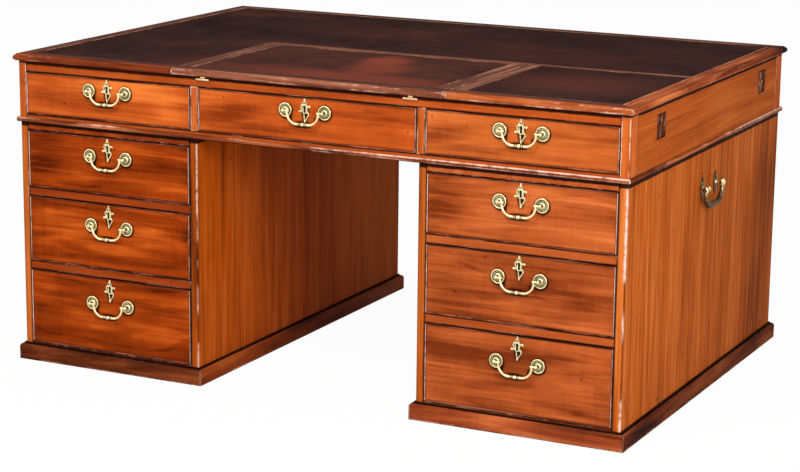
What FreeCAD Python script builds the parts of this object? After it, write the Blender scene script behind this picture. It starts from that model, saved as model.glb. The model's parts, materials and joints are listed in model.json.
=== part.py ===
import FreeCAD, Part
import math
import os

# Partners' pedestal desk: a top section with three frieze drawers to each side and a hinged
# writing slope, carried on two pedestals with drawers to the front and a cupboard behind.
# Units are millimetres. X runs along the front, -Y is the front, +Z is up, and the origin is
# on the floor under the middle of the desk.

V = FreeCAD.Vector

# ---------------------------------------------------------------- driving dimensions

# overall
desk_height = 774.0
frieze_width = 1599.0
frieze_depth = 1094.0

# top
top_thickness = 17.0
top_overhang = 10.5
border_width = 43.0
border_quirk = 2.0
nose_setback = 6.0
leather_thickness = 1.5
leather_sink = 0.2
cross_strip_width = 25.0
cross_strip_front_y = -85.0
side_strip_width = 36.5
left_lip_width = 4.0

# hinged writing slope and the well under it
slope_width = 714.0
slope_side_gap = 1.5
slope_seat_gap = 0.3
slope_border_width = 40.0
slope_rear_lip = 12.0
slope_full_tilt = 35.0
well_floor_thickness = 5.0
well_depth = 37.5
cheek_thickness = 20.0
slope_hinge_offset = 272.0
slope_hinge_length = 36.0
hinge_knuckle_radius = 3.0
hinge_pin_radius = 1.2
hinge_bore_clearance = 0.05
hinge_end_gap = 0.2
hinge_leaf_thickness = 1.5
hinge_face_gap = 0.3
slope_hinge_drop = 6.5
slope_leaf_depth = 24.0
leaf_slot_clearance = 0.05
strut_rear_gap = 13.3
strut_leg_width = 14.0
strut_leg_spacing = 150.0
strut_thickness = 7.5
strut_above_axis = 2.0
strut_pivot_drop = 4.3
strut_pin_radius = 2.0
strut_pin_clearance = 0.05
strut_heel = 3.0
strut_bar_depth = 16.0
bracket_width = 8.0
bracket_depth = 9.0
bracket_below_axis = 4.0
bracket_side_gap = 0.3
ratchet_width = 22.0
ratchet_base = 5.0
ratchet_tooth_height = 4.0
ratchet_teeth = 6
ratchet_rear_margin = 12.0

# frieze
top_rail_height = 25.0
frieze_drawer_height = 107.0
base_rail_height = 19.0
base_rail_depth = 60.0
front_rail_thickness = 22.0
post_width = 21.5
post_depth = 45.0
end_board_thickness = 20.0
corner_bead_radius = 3.0
muntin_width = 20.0
centre_drawer_opening = 576.0
dust_board_thickness = 12.0
spine_thickness = 20.0
patch_side = 56.0
patch_height = 58.0
patch_thickness = 5.0
patch_front_y = -352.0
patch_rear_y = 381.0
patch_centre_z = 705.0

# waist moulding between the top section and the pedestals
waist_height = 11.0
waist_projection = 6.0
waist_round = 1.5

# pedestals
pedestal_inset = 2.0
pedestal_width = 505.0
pedestal_board = 20.0
pedestal_top_board = 19.0
bottom_board_thickness = 18.0
bottom_board_top_z = 46.0
side_board_foot_z = 2.0
foot_rail_thickness = 20.0
blade_height = 21.0
blade_depth = 60.0
partition_front_y = 5.0
partition_thickness = 20.0
upper_drawer_height = 144.0
middle_drawer_height = 166.0
runner_width = 35.0
frieze_runner_width = 28.0
shelf_height_z = 300.0
shelf_thickness = 16.0
shelf_front_margin = 22.0
bearer_width = 12.0
bearer_height = 20.0

# plinth
plinth_height = 43.0
plinth_projection = 12.5
plinth_face_height = 31.0
plinth_round_depth = 9.0

# drawers
drawer_front_thickness = 20.0
drawer_side_thickness = 10.0
drawer_back_thickness = 10.0
drawer_bottom_thickness = 8.0
drawer_bottom_lift = 6.0
drawer_reveal = 1.2
drawer_side_play = 0.8
drawer_runner_gap = 0.3
drawer_back_gap = 15.0
drawer_side_headroom = 4.0
cock_bead_width = 3.0
cock_bead_stand = 2.0

# drawer handles and locks
post_spacing = 103.0
rosette_radius = 17.0
rosette_thickness = 2.2
rosette_rim = 3.0
rosette_sides = 8
boss_radius = 8.0
boss_thickness = 3.0
stud_radius = 3.2
eye_radius = 4.6
eye_width = 6.6
bail_standoff = 12.0
bail_rod_radius = 2.4
bail_eye_clearance = 0.08
bail_drop = 29.5
bail_neck_inset = 12.0
bail_neck_bulge = 2.0
bail_bulge_level = 0.35
bail_neck_radius = 4.0
bail_heel_radius = 18.0
bail_grip_half = 39.0
bail_knob_radius = 4.0
bail_knob_length = 9.0
rod_sides = 8
flat_limit = 1e-6
bend_steps = 3
knuckle_sides = 10
bail_sides = 6
stud_sides = 6
nut_side = 9.0
nut_thickness = 3.0
escutcheon_thickness = 1.4
keyhole_drop = 28.0
keyhole_radius = 3.0
keyhole_slot_width = 3.0
keyhole_slot_length = 10.5
lock_width = 58.0
lock_height = 38.0
lock_thickness = 9.0
lock_below_key = 14.0
frieze_handle_drop = 34.0
upper_handle_drop = 50.0
middle_handle_drop = 57.5
lower_handle_drop = 67.0

# cupboard doors
door_thickness = 20.0
door_gap = 1.2
door_stile_width = 62.0
door_rail_width = 70.0
door_panel_thickness = 9.0
door_panel_tongue = 8.0
door_hinge_length = 64.0
door_hinge_inset = 70.0
door_leaf_width = 16.0
door_key_inset = 31.0

# carrying handles on the outer sides of the pedestals
carry_z = 507.0
carry_spacing = 122.0
carry_plate_half_height = 25.0
carry_plate_half_width = 11.0
carry_plate_thickness = 3.0
carry_lug_radius = 7.5
carry_lug_width = 7.0
carry_lug_gap = 0.4
carry_neck_half = 5.0
carry_ball_radius = 10.0
carry_ball_shoulder = 0.7
carry_pin_radius = 3.0
carry_pin_clearance = 0.08
carry_rod_radius = 4.0
carry_grip_radius = 6.3
carry_standoff = 15.0
carry_drop = 43.5
carry_bend = 24.0

# ---------------------------------------------------------------- levels and lines worked out

top_z = desk_height
top_under_z = top_z - top_thickness
frieze_half_x = frieze_width / 2
frieze_half_y = frieze_depth / 2
top_half_x = frieze_half_x + top_overhang
top_half_y = frieze_half_y + top_overhang
field_half_x = top_half_x - border_width
field_half_y = top_half_y - border_width
leather_top_z = top_z - leather_sink
ground_top_z = leather_top_z - leather_thickness
cross_strip_back_y = cross_strip_front_y + cross_strip_width

frieze_drawer_top_z = top_under_z - top_rail_height
frieze_drawer_floor_z = frieze_drawer_top_z - frieze_drawer_height
frieze_base_z = frieze_drawer_floor_z - base_rail_height
dust_board_top_z = frieze_base_z + dust_board_thickness
post_inner_x = frieze_half_x - post_width
muntin_inner_x = centre_drawer_opening / 2
muntin_outer_x = muntin_inner_x + muntin_width
spine_half = spine_thickness / 2

pedestal_outer_x = frieze_half_x - pedestal_inset
pedestal_inner_x = pedestal_outer_x - pedestal_width
pedestal_half_y = frieze_half_y - pedestal_inset
bay_outer_x = pedestal_outer_x - pedestal_board
bay_inner_x = pedestal_inner_x + pedestal_board
bay_top_z = frieze_base_z - pedestal_top_board
partition_back_y = partition_front_y + partition_thickness

upper_floor_z = bay_top_z - upper_drawer_height
middle_top_z = upper_floor_z - blade_height
middle_floor_z = middle_top_z - middle_drawer_height
lower_top_z = middle_floor_z - blade_height

slope_half_x = slope_width / 2
slope_opening_half_x = slope_half_x + slope_side_gap
slope_rear_y = cross_strip_front_y - slope_side_gap
slope_under_z = top_under_z + slope_seat_gap
slope_axis_y = -frieze_half_y - hinge_knuckle_radius - hinge_face_gap
slope_axis_z = top_under_z - slope_hinge_drop
well_top_of_floor_z = slope_under_z - well_depth + top_thickness
well_floor_z = well_top_of_floor_z - well_floor_thickness
well_front_y = -frieze_half_y + front_rail_thickness
strut_reach = (cross_strip_front_y - strut_rear_gap - slope_axis_y) / 2
strut_axis_y = slope_axis_y + strut_reach
strut_axis_z = slope_under_z - strut_pivot_drop
strut_foot_y = strut_axis_y + strut_reach
strut_travel = 2 * strut_reach * (1 - math.cos(math.radians(slope_full_tilt)))
ratchet_pitch = strut_travel / ratchet_teeth

door_outer_x = bay_outer_x - door_gap
door_inner_x = bay_inner_x + door_gap
door_low_z = bottom_board_top_z + door_gap
door_high_z = bay_top_z - door_gap
door_axis_x = bay_outer_x - door_gap / 2
door_axis_y = pedestal_half_y + hinge_knuckle_radius + hinge_face_gap

carry_axis_x = pedestal_outer_x + carry_standoff


# ---------------------------------------------------------------- building blocks

def box(x0, x1, y0, y1, z0, z1):
    """A board between two corners."""
    return Part.makeBox(x1 - x0, y1 - y0, z1 - z0, V(x0, y0, z0))


def face_from(points):
    """A flat face whose edges join the points in order."""
    return Part.Face(Part.makePolygon(list(points) + [points[0]]))


def other_side(shape):
    """The same shape mirrored to the other half of the desk, left for right."""
    return shape.mirror(V(0, 0, 0), V(1, 0, 0))


def turned(shape, quarter_turns):
    """The shape turned about the desk's vertical axis by quarter turns."""
    copy = shape.copy()
    copy.rotate(V(0, 0, 0), V(0, 0, 1), 90 * quarter_turns)
    return copy


def round_vertical_edges(board, corners, radius):
    """Round the upright edges of a board that stand at the given (x, y) corners."""
    chosen = []
    for edge in board.Edges:
        ends = [vertex.Point for vertex in edge.Vertexes]
        if len(ends) == 2 and abs(ends[0].z - ends[1].z) > radius:
            for x, y in corners:
                if abs(ends[0].x - x) < 0.01 and abs(ends[0].y - y) < 0.01:
                    chosen.append(edge)
    return board.makeFillet(radius, chosen)


def prism(points, direction):
    """A straight solid with a flat outline."""
    return face_from(points).extrude(direction)


def regular_ring(sides, radius):
    """Corner offsets of a regular polygon as (a, b) pairs, with flats towards the axes."""
    step = 2 * math.pi / sides
    return [(radius * math.cos(step * (i + 0.5)), radius * math.sin(step * (i + 0.5))) for i in range(sides)]


def side_faces(a, b, c, d):
    """The side between two edges of neighbouring rings: one face if flat, otherwise two."""
    if abs((b - a).cross(c - a).dot(d - a)) < flat_limit:
        return [face_from([a, b, c, d])]
    return [face_from([a, b, c]), face_from([a, c, d])]


def solid_from_rings(rings):
    """A closed solid through rings of corner points, each with the same number of corners."""
    faces = [face_from(rings[0]), face_from(rings[-1])]
    for near, far in zip(rings, rings[1:]):
        for i in range(len(near)):
            j = (i + 1) % len(near)
            faces += side_faces(near[i], near[j], far[j], far[i])
    solid = Part.Solid(Part.Shell(faces))
    if solid.Volume < 0:
        solid.reverse()
    return solid


def turning(sides, stations, origin, along):
    """A many-sided turning from an origin: stations are (distance along the axis, radius)."""
    across = V(0, 0, 1) if abs(along.z) < 0.5 else V(1, 0, 0)
    side = along.cross(across)
    return solid_from_rings([[origin + along * distance + across * a + side * b
                              for a, b in regular_ring(sides, radius)]
                             for distance, radius in stations])


def eased_path(points, radii, steps):
    """The points of a path whose inner corners are eased by arcs cut into equal steps.

    A radius of zero leaves its corner sharp.
    """
    path = [points[0]]
    for before, corner, after, radius in zip(points, points[1:], points[2:], radii):
        if radius == 0:
            path.append(corner)
            continue
        into = (corner - before).normalize()
        away = (after - corner).normalize()
        turn = into.getAngle(away)
        centre = corner + (away - into).normalize() * (radius / math.cos(turn / 2))
        first = corner - into * (radius * math.tan(turn / 2))
        for step in range(steps + 1):
            angle = turn * step / steps
            path.append(centre + (first - centre) * math.cos(angle) + into * (radius * math.sin(angle)))
    return path + [points[-1]]


def rod_rings(path, across, radii, sides):
    """Many-sided rings round a flat path, mitred at its corners; across is the plane's normal."""
    rings = []
    for i, (point, radius) in enumerate(zip(path, radii)):
        into = (point - path[max(i - 1, 0)]) if i else (path[1] - path[0])
        away = (path[i + 1] - point) if i + 1 < len(path) else into
        half_turn = into.getAngle(away) / 2
        side = (into.normalize() + away.normalize()).normalize().cross(across) * (1 / math.cos(half_turn))
        rings.append([point + across * a + side * b for a, b in regular_ring(sides, radius)])
    return rings


def mitred_run(profile_face, half_length, reach, low_z, high_z):
    """A moulding along X on a front face at y=0, its ends mitred outwards at 45 degrees.

    profile_face lies in the plane x=0 with -Y outwards, and half_length is at the case's face.
    """
    full = half_length + reach
    bar = profile_face.copy()
    bar.translate(V(-full, 0, 0))
    bar = bar.extrude(V(2 * full, 0, 0))
    envelope = prism(
        [V(-half_length, 0, low_z), V(half_length, 0, low_z), V(full, -reach, low_z),
         V(-full, -reach, low_z)],
        V(0, 0, high_z - low_z),
    )
    return bar.common(envelope).Solids[0]


def ring_of_runs(profile_face, half_x, half_y, reach, low_z, high_z):
    """Four mitred lengths round a rectangular case: front, right, back and left."""
    runs = []
    for turn, half_length, distance in ((0, half_x, half_y), (1, half_y, half_x), (2, half_x, half_y),
                                        (3, half_y, half_x)):
        run = mitred_run(profile_face, half_length, reach, low_z, high_z)
        run.translate(V(0, -distance, 0))
        runs.append(turned(run, turn))
    return runs


def facet_bar(sides, radius, start, end):
    """A many-sided bar between two points, its corners on the given radius."""
    length = (end - start).Length
    return turning(sides, [(0, radius), (length, radius)], start, (end - start) * (1 / length))


def round_bore(radius, start, end):
    """A round bore between two points, to be cut from a piece."""
    return Part.makeCylinder(radius, (end - start).Length, start, end - start)


def pinned_knuckle(axis_points, radius, pin_radius):
    """A fixed knuckle with its pin: solid outer barrels and a thin pin across the gap.

    axis_points are four points in a line: start, gap start, gap end and end.
    """
    start, gap_start, gap_end, end = axis_points
    barrel = facet_bar(knuckle_sides, radius, start, gap_start)
    if (end - gap_end).Length > 0:
        barrel = barrel.fuse(facet_bar(knuckle_sides, radius, gap_end, end))
    return barrel.fuse(facet_bar(rod_sides, pin_radius, start, gap_end))


def bored_knuckle(start, end, radius, bore_radius):
    """A moving knuckle, bored for its pin."""
    return facet_bar(knuckle_sides, radius, start, end).cut(round_bore(bore_radius, start, end))


def save(name, solids):
    """Write one named piece, or one group of pieces, to its own file."""
    group = Part.makeCompound(solids) if len(solids) > 1 else solids[0]
    group.exportStep("parts/" + name + ".step")


# ---------------------------------------------------------------- moulding profiles

def border_profile():
    """The top's border board: flat, then a quirk and a thumbnail nose. y=0 is the leather's edge."""
    tip = -border_width
    quirk_y = tip + nose_setback
    shoulder_z = top_z - border_quirk
    middle_z = (shoulder_z + top_under_z) / 2
    nose = Part.Arc(V(0, quirk_y, shoulder_z), V(0, tip, middle_z), V(0, quirk_y, top_under_z)).toShape()
    straight = Part.makePolygon([
        V(0, quirk_y, top_under_z), V(0, 0, top_under_z), V(0, 0, top_z), V(0, quirk_y, top_z),
        V(0, quirk_y, shoulder_z),
    ])
    return Part.Face(Part.Wire([nose] + straight.Edges))


def waist_profile():
    """A thin lip with a rounded nose. y=0 is the frieze's face."""
    bottom = frieze_base_z
    top = frieze_base_z + waist_height
    flat_y = -waist_projection + waist_round
    nose = Part.Arc(V(0, flat_y, bottom), V(0, -waist_projection, (bottom + top) / 2),
                    V(0, flat_y, top)).toShape()
    straight = Part.makePolygon([V(0, flat_y, top), V(0, 0, top), V(0, 0, bottom), V(0, flat_y, bottom)])
    return Part.Face(Part.Wire([nose] + straight.Edges))


def plinth_profile():
    """A flat skirting board with a quarter-round shoulder and a small fillet above it."""
    out = -plinth_projection
    inner = out + plinth_round_depth
    shoulder_z = plinth_face_height + plinth_round_depth
    bulge = plinth_round_depth * (1 - math.sqrt(0.5))
    shoulder = Part.Arc(V(0, out, plinth_face_height), V(0, out + bulge, shoulder_z - bulge),
                        V(0, inner, shoulder_z)).toShape()
    straight = Part.makePolygon([
        V(0, inner, shoulder_z), V(0, inner, plinth_height), V(0, 0, plinth_height), V(0, 0, 0),
        V(0, out, 0), V(0, out, plinth_face_height),
    ])
    return Part.Face(Part.Wire([shoulder] + straight.Edges))


# ---------------------------------------------------------------- top section

def make_top_border():
    """Border boards round the top, cut away for the slope, and the strips between the leathers."""
    low_z = top_under_z - 1
    high_z = top_z + 1
    runs = ring_of_runs(border_profile(), field_half_x, field_half_y, border_width, low_z, high_z)
    front = runs[0]
    gap = box(-slope_opening_half_x, slope_opening_half_x, -top_half_y - 1, -field_half_y + 1, low_z, high_z)
    pieces = list(front.cut(gap).Solids) + runs[1:]
    right_strip = box(slope_opening_half_x, slope_opening_half_x + side_strip_width,
                      -field_half_y, cross_strip_front_y, top_under_z, top_z)
    left_lip = box(-slope_opening_half_x - left_lip_width, -slope_opening_half_x,
                   -field_half_y, cross_strip_front_y, top_under_z, top_z)
    cross_strip = box(-slope_opening_half_x - left_lip_width, field_half_x,
                      cross_strip_front_y, cross_strip_back_y, top_under_z, top_z)
    save("top_border", pieces + [right_strip, left_lip, cross_strip])


def field_panels(low_z, high_z):
    """The fields inside the border as (left and rear, right): the first runs round the slope's corner."""
    left_edge = -slope_opening_half_x - left_lip_width
    right_edge = slope_opening_half_x + side_strip_width
    corner = prism([
        V(-field_half_x, -field_half_y, low_z), V(left_edge, -field_half_y, low_z),
        V(left_edge, cross_strip_back_y, low_z), V(field_half_x, cross_strip_back_y, low_z),
        V(field_half_x, field_half_y, low_z), V(-field_half_x, field_half_y, low_z),
    ], V(0, 0, high_z - low_z))
    right = box(right_edge, field_half_x, -field_half_y, cross_strip_front_y, low_z, high_z)
    return corner, right


def make_top_groundwork():
    """Plain boards under the leather, laid on the frieze."""
    left_edge = -slope_opening_half_x - left_lip_width
    rear = box(-field_half_x, field_half_x, cross_strip_back_y, field_half_y, top_under_z, ground_top_z)
    left = box(-field_half_x, left_edge, -field_half_y, cross_strip_back_y, top_under_z, ground_top_z)
    _, right = field_panels(top_under_z, ground_top_z)
    save("top_groundwork", [rear, left, right])


def make_top_leather():
    """Writing leathers let into the top: one round the left and rear, one front right."""
    save("top_leather", list(field_panels(ground_top_z, leather_top_z)))


def slope_hinge_places():
    """X of the middle of each slope hinge."""
    return (-slope_hinge_offset, slope_hinge_offset)


def make_slope_board():
    """The slope's own length of moulded border, its side borders, rear lip and panel."""
    under = slope_under_z
    profile = border_profile()
    profile.translate(V(-slope_half_x, -field_half_y, 0))
    front = profile.extrude(V(slope_width, 0, 0))
    trim = box(-slope_half_x - 1, slope_half_x + 1, -top_half_y - 1, -field_half_y + 1, top_under_z - 1,
               under)
    front = front.cut(trim)
    leaf_recess = hinge_leaf_thickness + leaf_slot_clearance
    for middle_x in slope_hinge_places():
        half = slope_hinge_length / 2 + leaf_slot_clearance
        pocket = box(middle_x - half, middle_x + half, slope_axis_y - hinge_leaf_thickness,
                     slope_axis_y + slope_leaf_depth + leaf_slot_clearance, under - 1, under + leaf_recess)
        front = front.cut(pocket)
    inner_x = slope_half_x - slope_border_width
    lip_y = slope_rear_y - slope_rear_lip
    sides = [box(side - slope_border_width / 2, side + slope_border_width / 2, -field_half_y, slope_rear_y,
                 under, top_z)
             for side in (-slope_half_x + slope_border_width / 2, slope_half_x - slope_border_width / 2)]
    lip = box(-inner_x, inner_x, lip_y, slope_rear_y, under, top_z)
    panel = box(-inner_x, inner_x, -field_half_y, lip_y, under, ground_top_z)
    save("slope_board", front.Solids + sides + [lip, panel])
    leather = box(-inner_x, inner_x, -field_half_y, lip_y, ground_top_z, leather_top_z)
    save("slope_leather", [leather])


def make_slope_hinges():
    """Two cranked butt hinges under the nose, and the pivot brackets of the strut."""
    fixed, moving = [], []
    third = (slope_hinge_length - 2 * hinge_end_gap) / 3
    for middle_x in slope_hinge_places():
        ends = [middle_x - slope_hinge_length / 2, middle_x - third / 2 - hinge_end_gap,
                middle_x + third / 2 + hinge_end_gap, middle_x + slope_hinge_length / 2]
        axis = [V(x, slope_axis_y, slope_axis_z) for x in ends]
        knuckle = pinned_knuckle(axis, hinge_knuckle_radius, hinge_pin_radius)
        half_leaf = hinge_leaf_thickness / 2
        for x0, x1 in ((ends[0], ends[1]), (ends[2], ends[3])):
            knuckle = knuckle.fuse(box(x0, x1, slope_axis_y + hinge_pin_radius,
                                       -frieze_half_y + slope_leaf_depth / 2,
                                       slope_axis_z - half_leaf, slope_axis_z + half_leaf))
        fixed.append(knuckle.Solids[0])
        start = V(middle_x - third / 2, slope_axis_y, slope_axis_z)
        end = V(middle_x + third / 2, slope_axis_y, slope_axis_z)
        bore = hinge_pin_radius + hinge_bore_clearance
        barrel = bored_knuckle(start, end, hinge_knuckle_radius, bore)
        web = box(start.x, end.x, slope_axis_y - half_leaf, slope_axis_y + half_leaf,
                  slope_axis_z + (bore + hinge_knuckle_radius) / 2, slope_under_z + hinge_leaf_thickness)
        leaf = box(middle_x - slope_hinge_length / 2, middle_x + slope_hinge_length / 2,
                   slope_axis_y - half_leaf,
                   slope_axis_y + slope_leaf_depth, slope_under_z, slope_under_z + hinge_leaf_thickness)
        moving.append(barrel.fuse([web, leaf]).removeSplitter().Solids[0])
    save("slope_hinge_tails", fixed)
    leg_x = strut_leg_spacing / 2 + strut_leg_width / 2 + bracket_side_gap
    for x0, x1 in ((-leg_x - bracket_width, -leg_x), (leg_x, leg_x + bracket_width)):
        block = box(x0, x1, strut_axis_y - bracket_depth / 2, strut_axis_y + bracket_depth / 2,
                    strut_axis_z - bracket_below_axis, slope_under_z)
        hole = round_bore(strut_pin_radius + strut_pin_clearance, V(x0, strut_axis_y, strut_axis_z),
                          V(x1, strut_axis_y, strut_axis_z))
        moving.append(block.cut(hole))
    save("slope_hinge_flaps", moving)


def make_slope_strut():
    """The folding prop: two legs on a steel pivot pin, joined by a foot bar and a cross rail."""
    low = strut_axis_z + strut_above_axis - strut_thickness
    high = strut_axis_z + strut_above_axis
    heel_y = strut_axis_y - strut_heel
    toe_y = strut_foot_y + strut_heel
    bar_y = toe_y - strut_bar_depth
    middle_y = (strut_axis_y + strut_foot_y) / 2
    half = strut_leg_spacing / 2
    pin_half = half + strut_leg_width / 2 + bracket_side_gap + bracket_width
    pin = facet_bar(rod_sides, strut_pin_radius, V(-pin_half, strut_axis_y, strut_axis_z),
                    V(pin_half, strut_axis_y, strut_axis_z))
    legs = []
    for x in (-half, half):
        leg = box(x - strut_leg_width / 2, x + strut_leg_width / 2, heel_y, bar_y, low, high)
        legs.append(leg.cut(pin))
    bar = box(-half - strut_leg_width / 2, half + strut_leg_width / 2, bar_y, toe_y, low, high)
    rail = box(-half + strut_leg_width / 2, half - strut_leg_width / 2,
               middle_y - strut_bar_depth / 2, middle_y + strut_bar_depth / 2, low, high)
    save("slope_strut", legs + [bar, rail, pin])


def ratchet_strip(middle_x):
    """A toothed strip: saw teeth whose steep sides face the hinge."""
    base_z = well_top_of_floor_z
    root_z = base_z + ratchet_base
    tip_z = root_z + ratchet_tooth_height
    rear_y = cross_strip_front_y - ratchet_rear_margin
    front_y = rear_y - ratchet_pitch * ratchet_teeth
    x0 = middle_x - ratchet_width / 2
    points = [V(x0, rear_y, base_z), V(x0, front_y, base_z)]
    for tooth in range(ratchet_teeth):
        y = front_y + tooth * ratchet_pitch
        points += [V(x0, y, tip_z), V(x0, y + ratchet_pitch, root_z)]
    return prism(points, V(ratchet_width, 0, 0))


def make_slope_well():
    """The shallow well under the slope: floor, cheeks and the two toothed strips."""
    floor_top = well_top_of_floor_z
    outer_x = slope_opening_half_x + cheek_thickness
    floor = box(-outer_x, outer_x, well_front_y, cross_strip_front_y + cheek_thickness, well_floor_z,
                floor_top)
    right_cheek = box(slope_opening_half_x, outer_x, well_front_y, cross_strip_front_y, floor_top,
                      top_under_z)
    rear_cheek = box(-outer_x, outer_x, cross_strip_front_y, cross_strip_front_y + cheek_thickness, floor_top,
                     top_under_z)
    strips = [ratchet_strip(x) for x in (-strut_leg_spacing / 4, strut_leg_spacing / 4)]
    save("slope_well", [floor, right_cheek, other_side(right_cheek), rear_cheek] + strips)


def make_frieze_frame():
    """Corner posts, long rails, muntins, dust boards, spine and dividers of the top section."""
    pieces = []
    for x_sign, y_sign in ((1, -1), (1, 1), (-1, 1), (-1, -1)):
        x0, x1 = sorted((x_sign * post_inner_x, x_sign * frieze_half_x))
        y0, y1 = sorted((y_sign * (frieze_half_y - post_depth), y_sign * frieze_half_y))
        post = box(x0, x1, y0, y1, frieze_base_z, top_under_z)
        pieces.append(round_vertical_edges(post, [(x_sign * frieze_half_x, y_sign * frieze_half_y)],
                                           corner_bead_radius))
    front = []
    top_rail = box(-post_inner_x, post_inner_x, -frieze_half_y, well_front_y, frieze_drawer_top_z,
                   top_under_z)
    slot_z = slope_axis_z
    half_slot = hinge_leaf_thickness / 2 + leaf_slot_clearance
    slotted_rail = top_rail
    for middle_x in slope_hinge_places():
        half = slope_hinge_length / 2 + leaf_slot_clearance
        slotted_rail = slotted_rail.cut(box(middle_x - half, middle_x + half, -frieze_half_y - 1,
                                            -frieze_half_y + slope_leaf_depth / 2 + leaf_slot_clearance,
                                            slot_z - half_slot, slot_z + half_slot))
    front.append(slotted_rail)
    base_rail = box(-post_inner_x, post_inner_x, -frieze_half_y, -frieze_half_y + base_rail_depth,
                    frieze_base_z, frieze_drawer_floor_z)
    front.append(base_rail)
    shared = []
    for side in (-1, 1):
        x0, x1 = sorted((side * muntin_inner_x, side * muntin_outer_x))
        shared.append(box(x0, x1, -frieze_half_y, well_front_y, frieze_drawer_floor_z, frieze_drawer_top_z))
        divider_low = box(x0, x1, -frieze_half_y + base_rail_depth, -spine_half, dust_board_top_z,
                          well_floor_z)
        rail_notch = box(x0, x1, well_front_y, -frieze_half_y + base_rail_depth, frieze_drawer_floor_z,
                         well_floor_z)
        shared.append(divider_low.fuse(rail_notch).removeSplitter())
    pieces += front + shared
    pieces += [turned(top_rail, 2), turned(base_rail, 2)] + [turned(piece, 2) for piece in shared]
    rail_back = frieze_half_y - base_rail_depth
    board_ends = frieze_half_x - end_board_thickness
    for x0, x1 in ((-board_ends, -muntin_outer_x), (-muntin_outer_x, muntin_outer_x),
                   (muntin_outer_x, board_ends)):
        pieces.append(box(x0, x1, -rail_back, rail_back, frieze_base_z, dust_board_top_z))
    pieces.append(box(-board_ends, board_ends, -spine_half, spine_half, dust_board_top_z, top_under_z))
    save("frieze_frame", pieces)


def make_frieze_ends():
    """End boards of the frieze, each with two dark blocks let into its face."""
    pieces = []
    board = box(frieze_half_x - end_board_thickness, frieze_half_x, -frieze_half_y + post_depth,
                frieze_half_y - post_depth,
                frieze_base_z, top_under_z)
    for y in (patch_front_y, patch_rear_y):
        block = box(frieze_half_x - patch_thickness, frieze_half_x, y - patch_side / 2, y + patch_side / 2,
                    patch_centre_z - patch_height / 2, patch_centre_z + patch_height / 2)
        board = board.cut(block)
        pieces.append(block)
    pieces.append(board)
    save("frieze_ends", pieces + [other_side(piece) for piece in pieces])


def make_waist_moulding():
    """The lip that runs round the foot of the frieze."""
    runs = ring_of_runs(waist_profile(), frieze_half_x, frieze_half_y, waist_projection, frieze_base_z - 1,
                        frieze_base_z + waist_height + 1)
    save("waist_moulding", runs)


# ---------------------------------------------------------------- pedestals

def make_pedestal_cases():
    """Sides, top, bottom, partition, drawer blades, shelf and its bearers, for both pedestals."""
    outer = box(bay_outer_x, pedestal_outer_x, -pedestal_half_y, pedestal_half_y, side_board_foot_z,
                frieze_base_z)
    outer = round_vertical_edges(outer, [(pedestal_outer_x, -pedestal_half_y),
                                         (pedestal_outer_x, pedestal_half_y)], corner_bead_radius)
    slack = leaf_slot_clearance
    for low_z in door_hinge_levels():
        outer = outer.cut(box(bay_outer_x - 1, bay_outer_x + hinge_leaf_thickness + slack,
                              pedestal_half_y - door_leaf_width - slack,
                              pedestal_half_y + 1, low_z - slack, low_z + door_hinge_length / 2 + slack))
    inner = box(pedestal_inner_x, bay_inner_x, -pedestal_half_y, pedestal_half_y, side_board_foot_z,
                frieze_base_z)
    inner = round_vertical_edges(inner, [(pedestal_inner_x, -pedestal_half_y),
                                         (pedestal_inner_x, pedestal_half_y)], corner_bead_radius)
    top = box(bay_inner_x, bay_outer_x, -pedestal_half_y, pedestal_half_y, bay_top_z, frieze_base_z)
    under_bottom_z = bottom_board_top_z - bottom_board_thickness
    bottom = box(bay_inner_x, bay_outer_x, -pedestal_half_y, pedestal_half_y, under_bottom_z,
                 bottom_board_top_z)
    foot_rail = box(bay_inner_x, bay_outer_x, -pedestal_half_y, -pedestal_half_y + foot_rail_thickness,
                    side_board_foot_z, under_bottom_z)
    back_foot_rail = box(bay_inner_x, bay_outer_x, pedestal_half_y - foot_rail_thickness, pedestal_half_y,
                         side_board_foot_z, under_bottom_z)
    partition = box(bay_inner_x, bay_outer_x, partition_front_y, partition_back_y, bottom_board_top_z,
                    bay_top_z)
    pieces = [outer, inner, top, bottom, foot_rail, back_foot_rail, partition]
    for low_z in (middle_top_z, lower_top_z):
        pieces.append(box(bay_inner_x, bay_outer_x, -pedestal_half_y, -pedestal_half_y + blade_depth, low_z,
                          low_z + blade_height))
    shelf_end_y = pedestal_half_y - door_thickness - shelf_front_margin
    pieces.append(box(bay_inner_x, bay_outer_x, partition_back_y, shelf_end_y, shelf_height_z,
                      shelf_height_z + shelf_thickness))
    for x0, x1 in ((bay_inner_x, bay_inner_x + bearer_width), (bay_outer_x - bearer_width, bay_outer_x)):
        pieces.append(box(x0, x1, partition_back_y, shelf_end_y, shelf_height_z - bearer_height,
                          shelf_height_z))
    save("right_pedestal_case", pieces)
    save("left_pedestal_case", [other_side(piece) for piece in pieces])


def make_drawer_runners():
    """Side runners behind the blades of both pedestals and under every frieze drawer."""
    right = []
    for low_z in (middle_top_z, lower_top_z):
        for x0, x1 in ((bay_inner_x, bay_inner_x + runner_width), (bay_outer_x - runner_width, bay_outer_x)):
            right.append(box(x0, x1, -pedestal_half_y + blade_depth, partition_front_y, low_z,
                             low_z + blade_height))
    front_y = -frieze_half_y + base_rail_depth
    outer_end = frieze_half_x - end_board_thickness
    for x0, x1 in ((muntin_outer_x, muntin_outer_x + frieze_runner_width),
                   (outer_end - frieze_runner_width, outer_end),
                   (muntin_inner_x - frieze_runner_width, muntin_inner_x)):
        runner = box(x0, x1, front_y, -spine_half, dust_board_top_z, frieze_drawer_floor_z)
        right += [runner, other_side(turned(runner, 2))]
    save("drawer_runners", right + [other_side(piece) for piece in right])


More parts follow.
